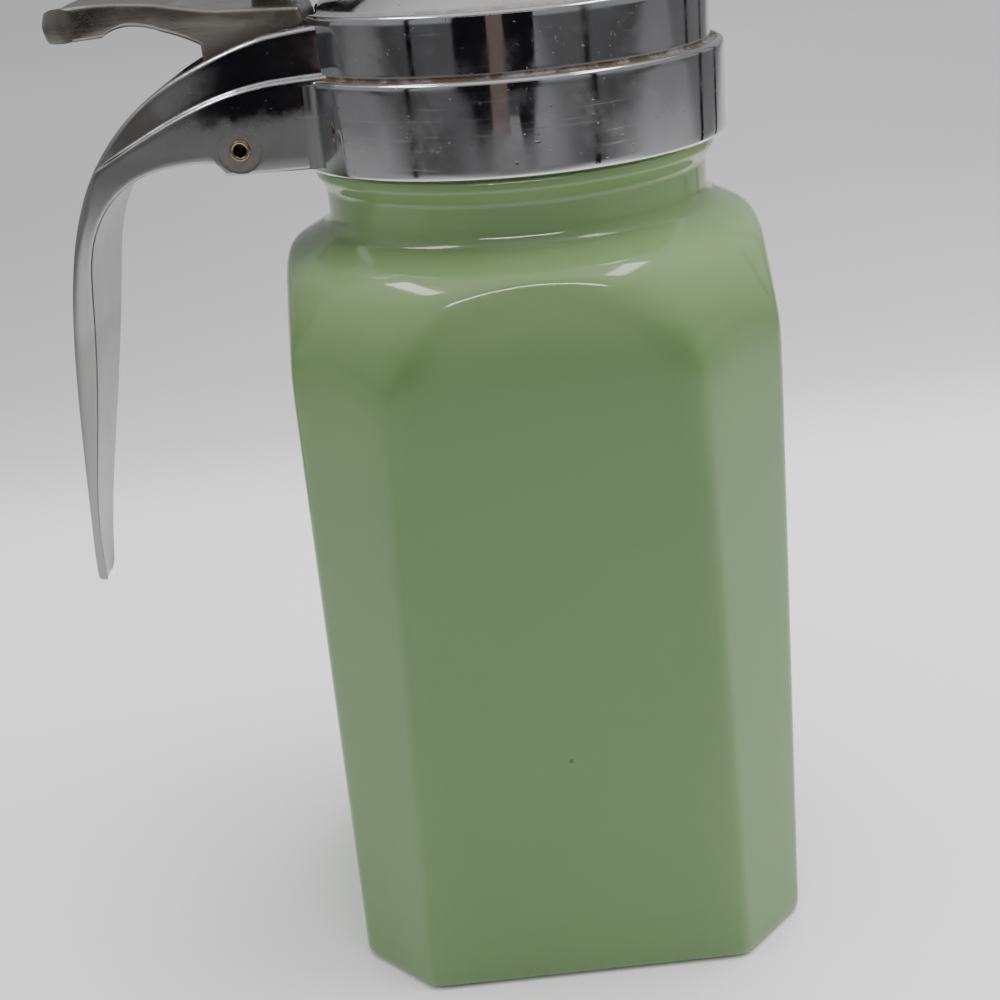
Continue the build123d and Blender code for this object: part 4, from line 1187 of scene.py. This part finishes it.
def thumb_dish(x, y, z):
    """Lowers the thumb rest's top by the depth of a wide ball-nosed groove: depth less y squared over its
    diameter. Its rear corners are drawn in, most at the end and by none a run in front of it, so that they are
    round in plan: radius less the root of radius squared less how far y is into the corner, squared."""
    local_x, local_z = x - PIVOT[0], z - PIVOT[1]
    deep = np.maximum(DISH - y**2 / (2.0 * DISH_R), 0.0)
    reach = np.clip((-local_x - DISH_FROM) / DISH_RUN, 0.0, 1.0)
    is_top = np.clip((local_z - THUMB_Z - 1.6) / 2.0, 0.0, 1.0)
    into = np.clip(np.abs(y) - (LEVER_HALF - THUMB_CORNER), 0.0, THUMB_CORNER)
    drawn = THUMB_CORNER - np.sqrt(THUMB_CORNER**2 - into**2)
    share = np.clip((-local_x - THUMB_L + DRAWN_RUN) / DRAWN_RUN, 0.0, 1.0)
    return x + drawn * share, y, z - deep * reach * reach * (3.0 - 2.0 * reach) * is_top


def hub_side():
    """Outline of the narrow web and the hub: shank down to the pivot and round under it."""
    top = WIDE_FROM + 0.8
    round_hub = HUB_R * unit(np.linspace(0.0, -np.pi, 26))
    return evenly(np.concatenate([round_hub, [(-HUB_R, top), (HUB_R + (5.4 - HUB_R) * top / 8.4, top)]])) + PIVOT


def horn_side():
    """Outline of the horn: a foot in the shank, straight flanks and a round head about the cross pin."""
    low = PIVOT[1] + THUMB_Z + 1.0
    head = PIN + HORN_R * unit(np.linspace(0.0, np.pi, 22))
    return evenly(np.concatenate([head, [(PIN[0] - HORN_R - 0.5, low), (PIN[0] + HORN_R + 0.9, low)]]))


def shank_painted_shade(place, x, y, z):
    """Painted shade low on the shank, under the thumb rest: it rises from none under the rest to its most over the
    hub."""
    return fade(z, (PIVOT[1] + 18.0) * MM, (PIVOT[1] + 10.5) * MM, 0.5)


# The shank is darkened lower down: painted shade.
lever_metal = metal_finish(
    "worn_casting", (0.25, 0.235, 0.215), (0.16, 0.13, 0.10), polish=0.2, dull=0.35, brushed=0.6, scale=1.3,
    dirt_and_shade=shank_painted_shade,
)
hub = plate("lever_hub", hub_side(), -HUB_NEAR, LEVER_HALF, 0.35)
cut_away(hub, side_cutter("hub_way", RIVET_WAY_R))
for piece in (
    plate("thumb_lever", lever_side(), -LEVER_HALF, LEVER_HALF, 0.6, steps=6, shape=thumb_dish, slices=37),
    hub,
    plate("lever_horn", horn_side(), -HORN_HALF, HORN_HALF, 0.4),
):
    piece.data.materials.append(lever_metal)
    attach(piece, "lever")
    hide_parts("thumb_lever")


# ---- Lever rivet ----------------------------------------------------------------------
# A hollow brass rivet through both cheeks and the hub; its ends are rolled over outside.
RIVET_R, RIVET_BORE_R, RIVET_RIM_R, RIVET_RIM_T = 1.1, 0.85, 1.45, 0.3

reach = RIVET_SEAT + RIVET_RIM_T
half_path = [
    (RIVET_R, 0), (RIVET_R, RIVET_SEAT), (RIVET_RIM_R, RIVET_SEAT), (RIVET_RIM_R - 0.1, reach),
    (RIVET_BORE_R, reach),
]
rivet_path = softened_path(
    half_path + [(r, -y) for r, y in half_path[::-1]], [0, 0.1, 0.12, 0.2, 0.25, 0.25, 0.2, 0.12, 0.1, 0], 5
)[:-1]
rivet = skin("rivet", across_rings(no_longer_than(rivet_path, 2.0), 56), loop=True)
rivet.data.materials.append(
    metal_finish("rivet_brass", (0.33, 0.27, 0.16), (0.10, 0.07, 0.035), polish=0.2, dull=0.4, scale=2.5)
)
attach(rivet, "top")
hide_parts("lever_rivet")


# ---- Return spring --------------------------------------------------------------------
# A torsion spring of drawn wire beside the hub: one leg leans on the band, the other
# lifts the lever's shank.
SPRING_LOW, SPRING_HIGH = (np.array(corner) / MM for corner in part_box("return_spring"))
WIRE_R, COIL_R, COIL_TURNS, COIL_POINTS = 0.42, 2.0, 5.25, 300
COIL_Y0, COIL_Y1 = SPRING_LOW[1] + 0.45, SPRING_HIGH[1] - 0.45


def wire(name, path, radius, columns=12):
    """Tube along a path: rings in the plane of two normals, the first at right angles to the path and to the
    line across the object."""
    along = np.gradient(path, axis=0)
    along /= np.linalg.norm(along, axis=1)[:, None]
    side = np.cross(along, [0.0, 1.0, 0.0])
    side /= np.linalg.norm(side, axis=1)[:, None]
    over = np.cross(along, side)
    angle = around(columns)[:, None]
    rings = path[:, None] + radius * (np.cos(angle) * side[:, None] + np.sin(angle) * over[:, None])
    return skin(name, rings, lids=True)


swing = np.linspace(-0.5 * np.pi, -0.5 * np.pi + 2.0 * np.pi * COIL_TURNS - 0.5 * np.pi, COIL_POINTS)
level = np.linspace(COIL_Y0, COIL_Y1, COIL_POINTS)
coil = np.c_[PIVOT[0] + COIL_R * np.cos(swing), level, PIVOT[1] + COIL_R * np.sin(swing)]
under = PIVOT[1] - COIL_R
leg_in = np.linspace([SPRING_HIGH[0], COIL_Y0, under], [PIVOT[0] + 0.2, COIL_Y0, under], 12)
leg_out = np.linspace([coil[-1][0], COIL_Y1, coil[-1][2] + 0.2], [coil[-1][0], COIL_Y1, SPRING_HIGH[2]], 10)
spring = wire("return_spring_wire", np.concatenate([leg_in, coil, leg_out]), WIRE_R)
spring.data.materials.append(
    metal_finish("spring_steel", (0.42, 0.42, 0.41), (0.2, 0.14, 0.09), polish=0.22, dull=0.35, scale=3.0)
)
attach(spring, "top")
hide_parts("return_spring")


# ---- Cross pin ------------------------------------------------------------------------
# A ground steel pin pressed through the horn; its ends run in the blade's slotted ears.
pin_r = (PIN_HIGH[2] - PIN_LOW[2]) / 2.0
pin_path = softened_path(
    [(0, PIN_LOW[1]), (pin_r, PIN_LOW[1]), (pin_r, PIN_HIGH[1]), (0, PIN_HIGH[1])], [0, 0.25, 0.25, 0], 5
)
pin = skin("cross_pin", across_rings(pin_path, 40, PIN))
pin.data.materials.append(
    metal_finish("pin_steel", (0.5, 0.5, 0.5), (0.25, 0.2, 0.14), polish=0.15, dull=0.3, scale=2.0)
)
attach(pin, "lever")
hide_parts("drive_pin")


# ---- Cut-off blade --------------------------------------------------------------------
# Flat stainless blade that closes the mouth and trims the last drop; behind, two ears are
# bent down and slotted for the cross pin.
BLADE_LOW, BLADE_HIGH = (np.array(corner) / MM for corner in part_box("cutoff_slide"))
BLADE_HALF, BLADE_T = BLADE_HIGH[1], 1.0
EAR_L, EAR_IN = 7.0, 5.9
SLOT_HALF, SLOT_RUN = 1.5, 0.385      # the slot is two half circles, each this far off its middle
BLADE_Z = BLADE_HIGH[2] - BLADE_T


def blade_plan():
    """Plan of the blade: straight sides, a half-round nose and small rear corners."""
    nose_x, back_x = BLADE_HIGH[0] - BLADE_HALF, BLADE_LOW[0]
    nose = [nose_x, 0.0] + BLADE_HALF * unit(np.linspace(-QUARTER, QUARTER, 40))
    corners = [(nose_x, BLADE_HALF), (back_x, BLADE_HALF), (back_x, -BLADE_HALF), (nose_x, -BLADE_HALF)]
    return evenly(np.concatenate([nose, softened_path(corners, [0, 0.8, 0.8, 0], 6)[1:-1]]), 2.0)


def ear_rings(y0, y1):
    """Slotted ear as a ring of four outlines: outside and slot on one face, slot and outside on the other."""
    (x0, _, z0), z1 = BLADE_LOW, BLADE_HIGH[2] - 0.3
    corners = [(x0, BLADE_Z), (x0, z0), (x0 + EAR_L, z0), (x0 + EAR_L, z1), (x0, z1), (x0, BLADE_Z)]
    outside = evenly(softened_path(corners, [0, 1.6, 1.6, 0.2, 0.2, 0], 8)[:-1], 0.7)
    centre = PIN + [0.0, SLOT_RUN]
    way = unit(np.arctan2(*(outside - centre).T[::-1]))
    slot = centre + SLOT_HALF * way + np.where(way[:, 1:] > 0.0, SLOT_RUN, -SLOT_RUN) * [0.0, 1.0]
    return np.array([
        np.insert(outline, 1, y, axis=1) for outline, y in ((outside, y0), (slot, y0), (slot, y1), (outside, y1))
    ])


blade_steel = metal_finish(
    "blade_steel", (0.56, 0.56, 0.55), (0.34, 0.30, 0.24), polish=0.18, dull=0.3, brushed=0.25, scale=1.5
)
for piece in (
    plate("blade", blade_plan(), BLADE_Z, BLADE_Z + BLADE_T, 0.22, across="z"),
    skin("blade_ear_near", ear_rings(-EAR_IN - BLADE_T, -EAR_IN), loop=True),
    skin("blade_ear_far", ear_rings(EAR_IN, EAR_IN + BLADE_T), loop=True),
):
    piece.data.materials.append(blade_steel)
    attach(piece, "blade")
    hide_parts("cutoff_slide")


# ---- Guide strap ----------------------------------------------------------------------
# A sheet strap across the rails that holds the blade down, fixed with four small rivets.
STRAP_LOW, STRAP_HIGH = (np.array(corner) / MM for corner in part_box("slide_guide"))
HEAD_R, HEAD_H, HEAD_Y = 1.15, 0.3, 8.95    # heads on the sheet, up to the strap's full height
STRAP_TOP = STRAP_HIGH[2] - HEAD_H


def rivet_head(name, x, y):
    """Low domed head: a quarter ellipse turned about its own axis, with its foot sunk in the strap."""
    turn = np.linspace(0.0, QUARTER, 8)
    path = np.c_[HEAD_R * np.sin(turn), STRAP_TOP + HEAD_H * np.cos(turn)]
    path = np.concatenate([path, [(HEAD_R, STRAP_TOP - 0.3), (0.0, STRAP_TOP - 0.3)]])
    return skin(name, turned_rings(path, 32, (x, y)))


strap_steel = metal_finish(
    "strap_steel", (0.55, 0.55, 0.54), (0.33, 0.29, 0.22), polish=0.16, dull=0.3, brushed=0.3, scale=1.5
)
strap_line = evenly(round_plan(STRAP_LOW, STRAP_HIGH, 1.5, 8), 1.5)
strap = plate("strap", strap_line, STRAP_LOW[2], STRAP_TOP, 0.15, across="z")
places = [(x, y) for x in (STRAP_LOW[0] + 7.2, STRAP_HIGH[0] - 3.0) for y in (-HEAD_Y, HEAD_Y)]
for piece in [strap] + [rivet_head("strap_rivet_%d" % index, *place) for index, place in enumerate(places)]:
    piece.data.materials.append(strap_steel)
    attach(piece, "top")
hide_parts("slide_guide")
